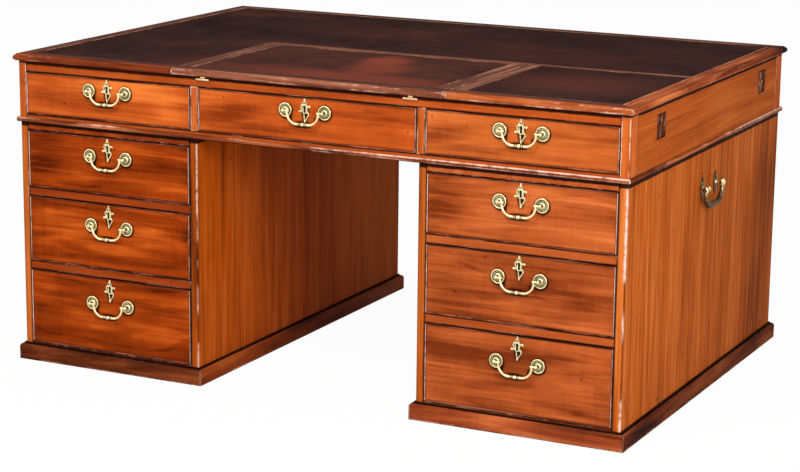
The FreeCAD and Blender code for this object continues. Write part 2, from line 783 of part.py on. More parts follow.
def make_plinths():
    """A mitred plinth of four lengths round each pedestal."""
    half_x = pedestal_width / 2
    middle_x = (pedestal_outer_x + pedestal_inner_x) / 2
    runs = ring_of_runs(plinth_profile(), half_x, pedestal_half_y, plinth_projection, -1, plinth_height + 1)
    right = []
    for run in runs:
        run.translate(V(middle_x, 0, 0))
        right.append(run)
    save("plinths", right + [other_side(run) for run in right])


# ---------------------------------------------------------------- brass furniture

# half outline of the pierced escutcheon as (x, z) from its keyhole, top to bottom
escutcheon_outline = [
    (0.0, 23.4), (4.4, 21.8), (3.4, 16.5), (8.6, 11.5), (8.0, 6.0), (16.5, 2.5), (14.0, -3.5), (8.6, -5.5),
    (9.4, -11.5), (5.0, -15.5), (5.6, -21.5), (3.0, -25.5), (3.6, -30.0), (0.0, -34.0),
]
# one half of its pierced scrolls, as corner points
escutcheon_piercings = [
    [(5.0, 3.6), (12.0, 0.8), (5.0, -3.0)],
    [(0.8, -16.0), (3.4, -19.0), (0.8, -26.0)],
]


def escutcheon(thickness):
    """A pierced keyhole plate standing on y=0, its keyhole at the origin."""
    right = [V(x, 0, z) for x, z in escutcheon_outline]
    left = [V(-p.x, 0, p.z) for p in reversed(right[1:-1])]
    plate = prism(right + left, V(0, -thickness, 0))
    for triangle in escutcheon_piercings:
        for sign in (-1, 1):
            plate = plate.cut(prism([V(sign * x, 1, z) for x, z in triangle], V(0, -thickness - 2, 0)))
    half_slot = keyhole_slot_width / 2
    keyhole = facet_bar(rod_sides, keyhole_radius, V(0, 1, 0), V(0, -thickness - 1, 0))
    keyhole = keyhole.fuse(box(-half_slot, half_slot, -thickness - 1, 1, -keyhole_slot_length, 0))
    return plate.cut(keyhole).Solids[0]


def rosette_with_eye():
    """A round backplate standing on y=0 with a stud that ends in a cross-bored eye."""
    face = rosette_thickness + boss_thickness
    outward = V(0, -1, 0)
    plate = turning(rosette_sides, [(0, rosette_radius), (rosette_thickness, rosette_radius - rosette_rim)],
                    V(), outward)
    stud_line = [(rosette_thickness, boss_radius), (face, stud_radius), (bail_standoff, stud_radius)]
    stud = turning(stud_sides, stud_line, V(), outward)
    eye_ends = V(-eye_width / 2, -bail_standoff, 0), V(eye_width / 2, -bail_standoff, 0)
    eye = facet_bar(stud_sides, eye_radius, *eye_ends)
    hole = round_bore(bail_rod_radius + bail_eye_clearance, *eye_ends)
    return plate.fuse([stud, eye]).cut(hole).removeSplitter().Solids[0]


def handle_brass(keyhole_above_handle):
    """Backplates, nuts, escutcheon and lock of one drawer, about the handle's middle at y=0."""
    half = post_spacing / 2
    pieces = []
    for x in (-half, half):
        rosette = rosette_with_eye()
        rosette.translate(V(x, 0, 0))
        nut = box(x - nut_side / 2, x + nut_side / 2, drawer_front_thickness,
                  drawer_front_thickness + nut_thickness,
                  -nut_side / 2, nut_side / 2)
        pieces += [rosette, nut]
    plate = escutcheon(escutcheon_thickness)
    plate.translate(V(0, 0, keyhole_above_handle))
    lock_low = keyhole_above_handle - lock_below_key
    lock = box(-lock_width / 2, lock_width / 2, drawer_front_thickness,
               drawer_front_thickness + lock_thickness,
               lock_low, lock_low + lock_height)
    return pieces + [plate, lock]


def bail():
    """A swan-neck bail hanging from its two eyes, with a turned knop at the middle of its grip."""
    y = -bail_standoff
    pin_end = post_spacing / 2 + eye_width / 2
    neck = post_spacing / 2 - bail_neck_inset
    knob_half = bail_knob_length / 2
    corners = [V(pin_end, y, 0), V(neck, y, 0), V(neck + bail_neck_bulge, y, -bail_drop * bail_bulge_level),
               V(bail_grip_half, y, -bail_drop), V(knob_half, y, -bail_drop)]
    path = eased_path(corners, [bail_neck_radius, 0, bail_heel_radius], bend_steps)
    rod = rod_rings(path, V(0, 1, 0), [bail_rod_radius] * len(path), bail_sides)
    middle = [V(0, y + a, -bail_drop - b) for a, b in regular_ring(bail_sides, bail_knob_radius)]
    left = [[V(-p.x, p.y, p.z) for p in ring] for ring in reversed(rod)]
    return solid_from_rings(rod + [middle] + left)


# ---------------------------------------------------------------- drawers

def drawer_solids(width, height, length):
    """A drawer whose front face is y=0 and whose opening's bottom left corner is x=0, z=0."""
    reveal = drawer_reveal
    bead = cock_bead_width
    thick = drawer_front_thickness
    x0, x1 = reveal, width - reveal
    z0, z1 = reveal, height - reveal
    front = box(x0 + bead, x1 - bead, 0, thick, z0 + bead, z1 - bead)
    beads = [
        box(x0, x1, -cock_bead_stand, thick, z1 - bead, z1),
        box(x0, x1, -cock_bead_stand, thick, z0, z0 + bead),
        box(x0, x0 + bead, -cock_bead_stand, thick, z0 + bead, z1 - bead),
        box(x1 - bead, x1, -cock_bead_stand, thick, z0 + bead, z1 - bead),
    ]
    side_x0, side_x1 = drawer_side_play + reveal, width - drawer_side_play - reveal
    low, high = drawer_runner_gap, height - drawer_side_headroom
    left = box(side_x0, side_x0 + drawer_side_thickness, thick, length, low, high)
    right = box(side_x1 - drawer_side_thickness, side_x1, thick, length, low, high)
    inner_x0, inner_x1 = side_x0 + drawer_side_thickness, side_x1 - drawer_side_thickness
    bottom_top = drawer_bottom_lift + drawer_bottom_thickness
    bottom = box(inner_x0, inner_x1, thick, length, drawer_bottom_lift, bottom_top)
    back = box(inner_x0, inner_x1, length - drawer_back_thickness, length, bottom_top, high)
    return [front] + beads + [left, right, bottom, back]


def make_drawer(name, x0, x1, z0, z1, face_y, length, handle_drop, to_back=False):
    """Write one drawer, its fixed brass and its bail. to_back turns it to the partner's side."""
    wood = drawer_solids(x1 - x0, z1 - z0, length)
    for piece in wood:
        piece.translate(V(x0, face_y, z0))
    handle_z = z1 - handle_drop
    middle = V((x0 + x1) / 2, face_y, handle_z)
    brass = handle_brass(handle_drop - keyhole_drop)
    pull = bail()
    for piece in brass + [pull]:
        piece.translate(middle)
    if to_back:
        wood = [turned(piece, 2) for piece in wood]
        brass = [turned(piece, 2) for piece in brass]
        pull = turned(pull, 2)
    save(name, wood)
    save(name + "_brass", brass)
    save(name + "_bail", [pull])


def make_pedestal_drawers():
    """Three graduated drawers in the front of each pedestal."""
    tiers = (
        ("upper", upper_floor_z, bay_top_z, upper_handle_drop),
        ("middle", middle_floor_z, middle_top_z, middle_handle_drop),
        ("lower", bottom_board_top_z, lower_top_z, lower_handle_drop),
    )
    length = pedestal_half_y + partition_front_y - drawer_back_gap
    for side, x0, x1 in (("left", -bay_outer_x, -bay_inner_x), ("right", bay_inner_x, bay_outer_x)):
        for tier, z0, z1, handle_drop in tiers:
            make_drawer(side + "_" + tier + "_drawer", x0, x1, z0, z1, -pedestal_half_y, length, handle_drop)


def make_frieze_drawers():
    """Three drawers in the frieze to the front, and three to the partner's side."""
    length = frieze_half_y - spine_half - drawer_back_gap
    bays = (("left", -post_inner_x, -muntin_outer_x), ("centre", -muntin_inner_x, muntin_inner_x),
            ("right", muntin_outer_x, post_inner_x))
    for where, to_back in (("front", False), ("back", True)):
        for side, x0, x1 in bays:
            make_drawer(where + "_" + side + "_frieze_drawer", x0, x1, frieze_drawer_floor_z,
                        frieze_drawer_top_z,
                        -frieze_half_y, length, frieze_handle_drop, to_back)


# ---------------------------------------------------------------- cupboard doors

def door_hinge_levels():
    """Lowest Z of each of a door's two hinges."""
    return (door_low_z + door_hinge_inset, door_high_z - door_hinge_inset - door_hinge_length)


def make_doors():
    """A framed and panelled cupboard door behind each pedestal, with its hinges and escutcheon."""
    y1 = pedestal_half_y
    y0 = y1 - door_thickness
    panel_y0 = (y0 + y1 - door_panel_thickness) / 2
    panel_y1 = panel_y0 + door_panel_thickness
    tongue = door_panel_tongue
    open_x0, open_x1 = door_inner_x + door_stile_width, door_outer_x - door_stile_width
    open_z0, open_z1 = door_low_z + door_rail_width, door_high_z - door_rail_width
    panel = box(open_x0 - tongue, open_x1 + tongue, panel_y0, panel_y1, open_z0 - tongue, open_z1 + tongue)
    outer_stile = box(open_x1, door_outer_x, y0, y1, door_low_z, door_high_z)
    inner_stile = box(door_inner_x, open_x0, y0, y1, door_low_z, door_high_z)
    leaf = hinge_leaf_thickness
    leaf_y0 = y1 - door_leaf_width
    for low_z in door_hinge_levels():
        outer_stile = outer_stile.cut(box(door_outer_x - leaf - leaf_slot_clearance, door_outer_x + 1,
                                          leaf_y0 - leaf_slot_clearance, y1 + 1,
                                          low_z - leaf_slot_clearance,
                                          low_z + door_hinge_length + leaf_slot_clearance))
    low_rail = box(open_x0, open_x1, y0, y1, door_low_z, open_z0)
    high_rail = box(open_x0, open_x1, y0, y1, open_z1, door_high_z)
    frame = [piece.cut(panel) for piece in (outer_stile, inner_stile, low_rail, high_rail)]
    save("right_cupboard_door", frame + [panel])
    save("left_cupboard_door", [other_side(piece) for piece in frame + [panel]])

    fixed, moving = [], []
    half_length = door_hinge_length / 2
    for low_z in door_hinge_levels():
        axis = [V(door_axis_x, door_axis_y, low_z + height) for height in (0, half_length, door_hinge_length,
                                                                           door_hinge_length)]
        knuckle = pinned_knuckle(axis, hinge_knuckle_radius, hinge_pin_radius)
        arm = box(bay_outer_x, bay_outer_x + leaf, leaf_y0, door_axis_y, low_z, low_z + half_length)
        fixed.append(knuckle.fuse(arm).removeSplitter().Solids[0])
        start = V(door_axis_x, door_axis_y, low_z + half_length + hinge_end_gap)
        end = V(door_axis_x, door_axis_y, low_z + door_hinge_length)
        barrel = bored_knuckle(start, end, hinge_knuckle_radius, hinge_pin_radius + hinge_bore_clearance)
        flap = box(door_outer_x - leaf, door_outer_x, leaf_y0,
                   door_axis_y - hinge_pin_radius - hinge_face_gap, low_z + half_length + hinge_end_gap,
                   low_z + door_hinge_length)
        moving.append(barrel.fuse(flap).removeSplitter().Solids[0])
    key_x = door_inner_x + door_key_inset
    key_z = (door_low_z + door_high_z) / 2
    plate = turned(escutcheon(escutcheon_thickness), 2)
    plate.translate(V(key_x, y1, key_z))
    lock = box(key_x - lock_height / 2, key_x + lock_height / 2, y0 - lock_thickness, y0,
               key_z - lock_width / 2, key_z + lock_width / 2)
    moving += [plate, lock]
    save("door_hinge_tails", fixed + [other_side(piece) for piece in fixed])
    save("right_door_brass", moving)
    save("left_door_brass", [other_side(piece) for piece in moving])


# ---------------------------------------------------------------- carrying handles

def carry_backplate():
    """A leaf-shaped plate with pointed ends and a bored lug, standing on x=0, pointing along +X."""
    tall, wide = carry_plate_half_height, carry_plate_half_width
    outline = [(0, tall), (wide * 0.7, tall * 0.5), (wide, 0), (wide * 0.7, -tall * 0.5), (0, -tall)]
    right = [V(0, y, z) for y, z in outline]
    left = [V(0, -p.y, p.z) for p in reversed(right[1:-1])]
    plate = prism(right + left, V(carry_plate_thickness, 0, 0))
    lug_ends = V(carry_standoff, -carry_lug_width / 2, 0), V(carry_standoff, carry_lug_width / 2, 0)
    lug = facet_bar(rod_sides, carry_lug_radius, *lug_ends)
    neck = box(0, carry_standoff, -carry_lug_width / 2, carry_lug_width / 2, -carry_neck_half,
               carry_neck_half)
    hole = round_bore(carry_pin_radius + carry_pin_clearance, *lug_ends)
    return plate.fuse([lug, neck]).cut(hole).removeSplitter().Solids[0]


def carrying_bail():
    """A heavy bail that swells to its grip, a ball at each end and a pin through each lug."""
    ball_y = carry_spacing / 2
    lug_y = ball_y - carry_ball_radius - carry_lug_gap - carry_lug_width / 2
    corners = [V(carry_axis_x, y, carry_z + z) for y, z in (
        (-ball_y, 0), (-ball_y, -carry_drop), (ball_y, -carry_drop), (ball_y, 0))]
    path = eased_path(corners, [carry_bend, carry_bend], bend_steps)
    swell = carry_grip_radius - carry_rod_radius
    radii = [carry_rod_radius + swell * (carry_z - point.z) / carry_drop for point in path]
    rod = solid_from_rings(rod_rings(path, V(1, 0, 0), radii, rod_sides))
    shoulder = carry_ball_radius * carry_ball_shoulder
    pieces = []
    for sign in (-1, 1):
        centre = V(carry_axis_x, sign * ball_y, carry_z)
        pieces.append(turning(rod_sides, [(-carry_ball_radius, carry_pin_radius), (-shoulder, shoulder),
                                          (0, carry_ball_radius),
                                          (shoulder, shoulder), (carry_ball_radius, carry_pin_radius)],
                                          centre, V(0, sign, 0)))
        pieces.append(facet_bar(rod_sides, carry_pin_radius,
                                V(carry_axis_x, sign * (lug_y - carry_lug_width / 2), carry_z),
                                V(carry_axis_x, sign * ball_y, carry_z)))
    return rod.fuse(pieces).removeSplitter().Solids[0]


def make_carrying_handles():
    """One heavy bail and two bored lugs on the outer side of each pedestal."""
    lug_y = carry_spacing / 2 - carry_ball_radius - carry_lug_gap - carry_lug_width / 2
    plates = []
    for y in (-lug_y, lug_y):
        plate = carry_backplate()
        plate.translate(V(pedestal_outer_x, y, carry_z))
        plates.append(plate)
    save("carrying_plates", plates + [other_side(plate) for plate in plates])
    rod = carrying_bail()
    save("right_carrying_bail", [rod])
    save("left_carrying_bail", [other_side(rod)])


# ---------------------------------------------------------------- build

def build():
    os.makedirs("parts", exist_ok=True)
    make_top_border()
    make_top_groundwork()
    make_top_leather()
    make_slope_board()
    make_slope_hinges()
    make_slope_strut()
    make_slope_well()
    make_frieze_frame()
    make_frieze_ends()
    make_waist_moulding()
    make_pedestal_cases()
    make_drawer_runners()
    make_plinths()
    make_pedestal_drawers()
    make_frieze_drawers()
    make_doors()
    make_carrying_handles()


build()
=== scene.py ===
"""Looks of a mahogany partners desk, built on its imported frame.

Timber pieces are eased copies of the frame's boards, each board with its own grain. Leather is
laid over its panels. Brass pieces are surfaces of revolution, tubes and pierced plates, worked
out with numpy.
"""

import json
import logging
import math
from dataclasses import dataclass, field, replace
from enum import Enum

import bmesh
import bpy
import numpy as np
from mathutils import Matrix

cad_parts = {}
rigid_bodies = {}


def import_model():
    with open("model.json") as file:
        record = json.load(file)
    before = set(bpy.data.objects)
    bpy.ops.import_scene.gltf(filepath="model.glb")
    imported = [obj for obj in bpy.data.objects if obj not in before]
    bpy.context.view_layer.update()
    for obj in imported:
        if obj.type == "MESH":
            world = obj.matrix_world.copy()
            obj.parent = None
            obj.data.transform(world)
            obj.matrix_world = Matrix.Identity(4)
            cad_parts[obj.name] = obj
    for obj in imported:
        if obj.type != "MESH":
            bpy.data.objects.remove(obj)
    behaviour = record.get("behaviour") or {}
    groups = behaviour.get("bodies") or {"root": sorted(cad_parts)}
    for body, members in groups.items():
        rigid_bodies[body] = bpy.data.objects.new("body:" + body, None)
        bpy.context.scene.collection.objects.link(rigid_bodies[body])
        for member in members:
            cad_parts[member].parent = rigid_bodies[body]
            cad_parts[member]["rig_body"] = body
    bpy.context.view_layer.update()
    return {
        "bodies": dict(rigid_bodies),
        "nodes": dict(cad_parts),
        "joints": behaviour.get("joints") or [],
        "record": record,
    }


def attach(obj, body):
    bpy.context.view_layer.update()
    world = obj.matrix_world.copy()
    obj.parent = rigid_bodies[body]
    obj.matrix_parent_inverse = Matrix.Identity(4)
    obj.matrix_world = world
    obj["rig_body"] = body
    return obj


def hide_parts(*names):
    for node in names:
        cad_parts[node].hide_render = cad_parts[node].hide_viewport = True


LOG = logging.getLogger("partners_desk")
MM = 0.001
Seen = tuple[float, float, float]
Place = tuple[float, float, float]
Socket = bpy.types.NodeSocket
# Up in the desk's frame, and outwards on a face that brass stands on.
Z_AXIS = np.array([0.0, 0.0, 1.0])
WHITE = (1.0, 1.0, 1.0, 1.0)

# How many patches a board's texture has in a metre, along the grain and across it.
STREAKS = (3.0, 130.0)
CURL_BARS = (48.0, 7.0)
PORES = (70.0, 1500.0)
RIBBONS = (5.0, 70.0)
STIRRING = (8.0, 30.0)
RUB_AND_GLINT_NOISE = (9.0, 30.0)
# The scale, detail and roughness of its other noises.
PATCHES = (5.0, 3.0, 0.6)
RAG = (60.0, 4.0, 0.65)
KNOCKS = (60.0, 1.0, 0.4)
BRUISES = (190.0, 2.0)
# Where in its noise a mark starts and where it is full.
PORE_BAND = (0.6, 0.72)
KNOCK_BAND = (0.775, 0.80)
BRUISE_BAND = (0.78, 0.9)
RAG_BAND = (0.2, 0.55)
RUB_AND_GLINT_BAND = (0.66, 0.86)
# How much lower a setting of 1 puts the band of rubbed arrises and painted highlights.
RUB_AND_GLINT_SPREAD = 0.45
# How far the figure, the streaks and the patches swing a timber's tone at a strength of 1.
FIGURE_SWING = 1.9
STREAK_SWING = 1.3
PATCH_SWING = 0.3
# How far apart in the log two boards are cut, and how far its feathers are pulled about, in metres.
LOG_STEP = (37.1, 11.3, 5.7)
FEATHER_PULL = (0.09, 0.0, 0.022)
# The colours of old marks and soiling, and of painted shade and shadow, as seen.
EDGE_DIRT_AND_GAP_SHADE = (40, 15, 8)
KNOCK_DARK = (46, 18, 9)
BRUISE_DARK = (48, 16, 6)
RIM_SHADE_DARK = (30, 12, 8)
CAP_SHADOW_DARK = (20, 7, 4)
SHADOW_AND_DIRT_DARK = (26, 9, 4)
FLAT_DARK = (62, 34, 28)
SCRATCH_PALE = (150, 104, 84)


class Grain(Enum):
    """The way a board's grain runs, as the order of its axes: along, across, through."""

    ALONG_X = (0, 1, 2)
    ALONG_Y = (1, 0, 2)
    ALONG_Z = (2, 0, 1)


class Side(Enum):
    """The side of the desk that a handle faces, as the sign of its outward direction."""

    SITTER = -1.0
    PARTNER = 1.0


# ------------------------------------------------------------------ shader graphs


def lit(seen: Seen) -> tuple[float, float, float, float]:
    """Turns a colour as seen on a screen, 0 to 255, into a shader colour.

    Args:
        seen: Red, green and blue as seen.

    Returns:
        The linear colour with full opacity.
    """
    share = np.array(seen, float) / 255
    light = np.where(share <= 0.04045, share / 12.92, ((share + 0.055) / 1.055) ** 2.4)
    return (*light.tolist(), 1.0)


class ShaderGraph:
    """The nodes of a material or a world, put down by short calls that return sockets."""

    def __init__(self, owner: bpy.types.Material | bpy.types.World) -> None:
        """Empties the owner's nodes.

        Args:
            owner: The material or world.
        """
        self.owner = owner
        owner.use_nodes = True
        self.tree = owner.node_tree
        self.tree.nodes.clear()

    def node(self, kind: str, inputs: dict | None = None, **settings: object) -> bpy.types.Node:
        """Adds a node.

        Args:
            kind: The node's type name.
            inputs: Values or sockets by input name or number.
            **settings: The node's own properties.

        Returns:
            The new node.
        """
        made = self.tree.nodes.new(kind)
        for key, value in settings.items():
            setattr(made, key, value)
        for key, value in (inputs or {}).items():
            if isinstance(value, Socket):
                self.tree.links.new(value, made.inputs[key])
            else:
                made.inputs[key].default_value = value
        return made

    def math(self, operation: str, *values: float | Socket, clamp: bool = False) -> Socket:
        """Adds a Math node on the values and returns its result."""
        return self.node(
            "ShaderNodeMath", dict(enumerate(values)), operation=operation, use_clamp=clamp
        ).outputs[0]

    def times_plus(
        self, value: Socket, factor: float | Socket, rest: float | Socket, clamp: bool = False
    ) -> Socket:
        """Multiplies a number by a factor and adds the rest."""
        return self.math("MULTIPLY_ADD", value, factor, rest, clamp=clamp)

    def vector(self, operation: str, *values: object) -> Socket:
        """Adds a Vector Math node on the values and returns its vector."""
        return self.node("ShaderNodeVectorMath", dict(enumerate(values)), operation=operation).outputs[0]

    def parts(self, vector: Socket) -> list[Socket]:
        """Splits a vector into its three numbers."""
        return list(self.node("ShaderNodeSeparateXYZ", {0: vector}).outputs)

    def mix(self, share: float | Socket, first: object, second: object) -> Socket:
        """Blends two colours, the first at a share of 0 and the second at 1."""
        return self.node("ShaderNodeMix", {0: share, 6: first, 7: second}, data_type="RGBA").outputs[2]

    def lay(self, colour: Socket, share: Socket, strength: float, seen: Seen) -> Socket:
        """Lays a flat colour over another by a share times a strength."""
        return self.mix(self.math("MULTIPLY", share, strength), colour, lit(seen))

    def noise(
        self, place: Socket, scale: float, detail: float = 3.0, roughness: float = 0.5,
        distortion: float = 0.0
    ) -> Socket:
        """Adds a Noise texture.

        Args:
            place: Where it is read.
            scale: Patches per metre, or per unit of the place.
            detail: Octaves.
            roughness: Weight of the finer octaves.
            distortion: How far the pattern is pulled about.

        Returns:
            A number round 0.5.
        """
        inputs = {
            "Vector": place, "Scale": scale, "Detail": detail, "Roughness": roughness,
            "Distortion": distortion
        }
        return self.node("ShaderNodeTexNoise", inputs).outputs[0]

    def stretched(self, place: Socket, density: tuple[float, float]) -> Socket:
        """Scales a place by one density along its first axis and another across it."""
        return self.vector("MULTIPLY", place, (density[0], density[1], density[1]))

    def grain(self, place: Socket, density: tuple[float, float], *settings: float) -> Socket:
        """Adds a noise stretched along the grain, with its detail, roughness and distortion."""
        return self.noise(self.stretched(place, density), 1.0, *settings)

    def band(self, value: Socket, low: float | Socket, high: float | Socket) -> Socket:
        """Rises smoothly from 0 at low to 1 at high."""
        inputs = {"Value": value, "From Min": low, "From Max": high}
        return self.node("ShaderNodeMapRange", inputs, interpolation_type="SMOOTHSTEP").outputs[0]

    def fall(self, value: Socket, low: float | Socket, high: float | Socket) -> Socket:
        """Falls smoothly from 1 at low to 0 at high."""
        return self.math("SUBTRACT", 1.0, self.band(value, low, high))

    def ramp(self, value: Socket, stops: list[tuple[float, Seen]]) -> Socket:
        """Adds a colour ramp.

        Args:
            value: The number that picks the colour.
            stops: Positions and colours as seen.

        Returns:
            The colour.
        """
        made = self.node("ShaderNodeValToRGB", {0: value})
        elements = made.color_ramp.elements
        while len(elements) < len(stops):
            elements.new(0.5)
        for element, (position, seen) in zip(elements, stops):
            element.position = position
            element.color = lit(seen)
        return made.outputs[0]

    def attribute(self, name: str, output: str = "Vector") -> Socket:
        """Reads one of the piece's own attributes."""
        return self.node("ShaderNodeAttribute", attribute_name=name).outputs[output]

    def bump(self, height: Socket, strength: float, distance: float) -> Socket:
        """Adds a Bump node of that height in metres and returns its normal."""
        return self.node(
            "ShaderNodeBump", {"Height": height, "Strength": strength, "Distance": distance}
        ).outputs[0]

    def direct(self) -> Socket:
        """Finds the rays that see the room directly or in gloss or glass.

        Returns:
            1 for those rays and 0 for the rays of soft light.
        """
        path = self.node("ShaderNodeLightPath").outputs
        bounced = self.math("MAXIMUM", path["Is Glossy Ray"], path["Is Transmission Ray"])
        return self.math("MAXIMUM", path["Is Camera Ray"], bounced)

    def finish(self, inputs: dict) -> bpy.types.Material:
        """Closes the graph with a Principled shader.

        Args:
            inputs: The shader's values and sockets by name.

        Returns:
            The material.
        """
        shader = self.node("ShaderNodeBsdfPrincipled", inputs)
        self.node("ShaderNodeOutputMaterial", {"Surface": shader.outputs[0]})
        return self.owner


# ------------------------------------------------------------------ finishes


@dataclass(frozen=True)
class Stroke:
    """One soft feather of a board's figure, an ellipse on its broad face.

    Attributes:
        along: Place of its middle along the grain from the board's middle, in millimetres.
        across: Place of its middle across the grain.
        length: Half its length.
        width: Half its width.
        tilt: Its turn from the grain in degrees.
        glow: How much it brightens the figure, below 0 to darken it.
    """

    along: float
    across: float
    length: float
    width: float
    tilt: float = 0.0
    glow: float = 0.3

    def add_to(self, graph: ShaderGraph, tone: Socket | float, place: Socket) -> Socket:
        """Adds the feather to a tone.

        Its weight falls from 1 in the middle to 0 at the ellipse as the square of the distance left.

        Args:
            graph: The material's graph.
            tone: The tone so far.
            place: Place on the board in metres.

        Returns:
            The new tone.
        """
        inputs = {
            "Vector": place,
            "Location": (self.along * MM, 0.0, self.across * MM),
            "Rotation": (0.0, -math.radians(self.tilt), 0.0),
            "Scale": (self.length * MM, 100.0, self.width * MM),
        }
        spot = graph.node("ShaderNodeMapping", inputs, vector_type="TEXTURE").outputs[0]
        soft = graph.node("ShaderNodeTexGradient", {0: spot}, gradient_type="QUADRATIC_SPHERE").outputs["Fac"]
        return graph.times_plus(soft, self.glow, tone)


def strokes(*rows: tuple[float, ...]) -> tuple[Stroke, ...]:
    """Makes strokes from rows of their sizes."""
    return tuple(Stroke(*row) for row in rows)


def brushed(
    graph: ShaderGraph, tone: Socket | float, place: Socket, feathers: tuple[Stroke, ...]
) -> Socket | float:
    """Adds several feathers to a tone.

    Args:
        graph: The material's graph.
        tone: The tone so far.
        place: Place on the board in metres.
        feathers: The strokes.

    Returns:
        The new tone.
    """
    for stroke in feathers:
        tone = stroke.add_to(graph, tone, place)
    return tone


@dataclass(frozen=True)
class Cut:
    """How a board is cut from its log, as the sockets that every layer of its looks reads.

    Attributes:
        graph: The material's graph.
        place: Place on the board, from its middle, in metres.
        log: Place in the log.
        streak: Fine streaks along the grain.
        patch: Broad patches.
        rag: Fine ragged noise.
    """

    graph: ShaderGraph
    place: Socket
    log: Socket
    streak: Socket
    patch: Socket
    rag: Socket

    def arris(self) -> Socket:
        """Measures the way to the board's nearest arris.

        It is the middle one of the three distances to the faces of the board's own box.

        Returns:
            The distance in metres.
        """
        g = self.graph
        x, y, z = g.parts(g.vector("SUBTRACT", g.attribute("board_half"), g.vector("ABSOLUTE", self.place)))
        return g.math("MAXIMUM", g.math("MINIMUM", x, y), g.math("MINIMUM", g.math("MAXIMUM", x, y), z))


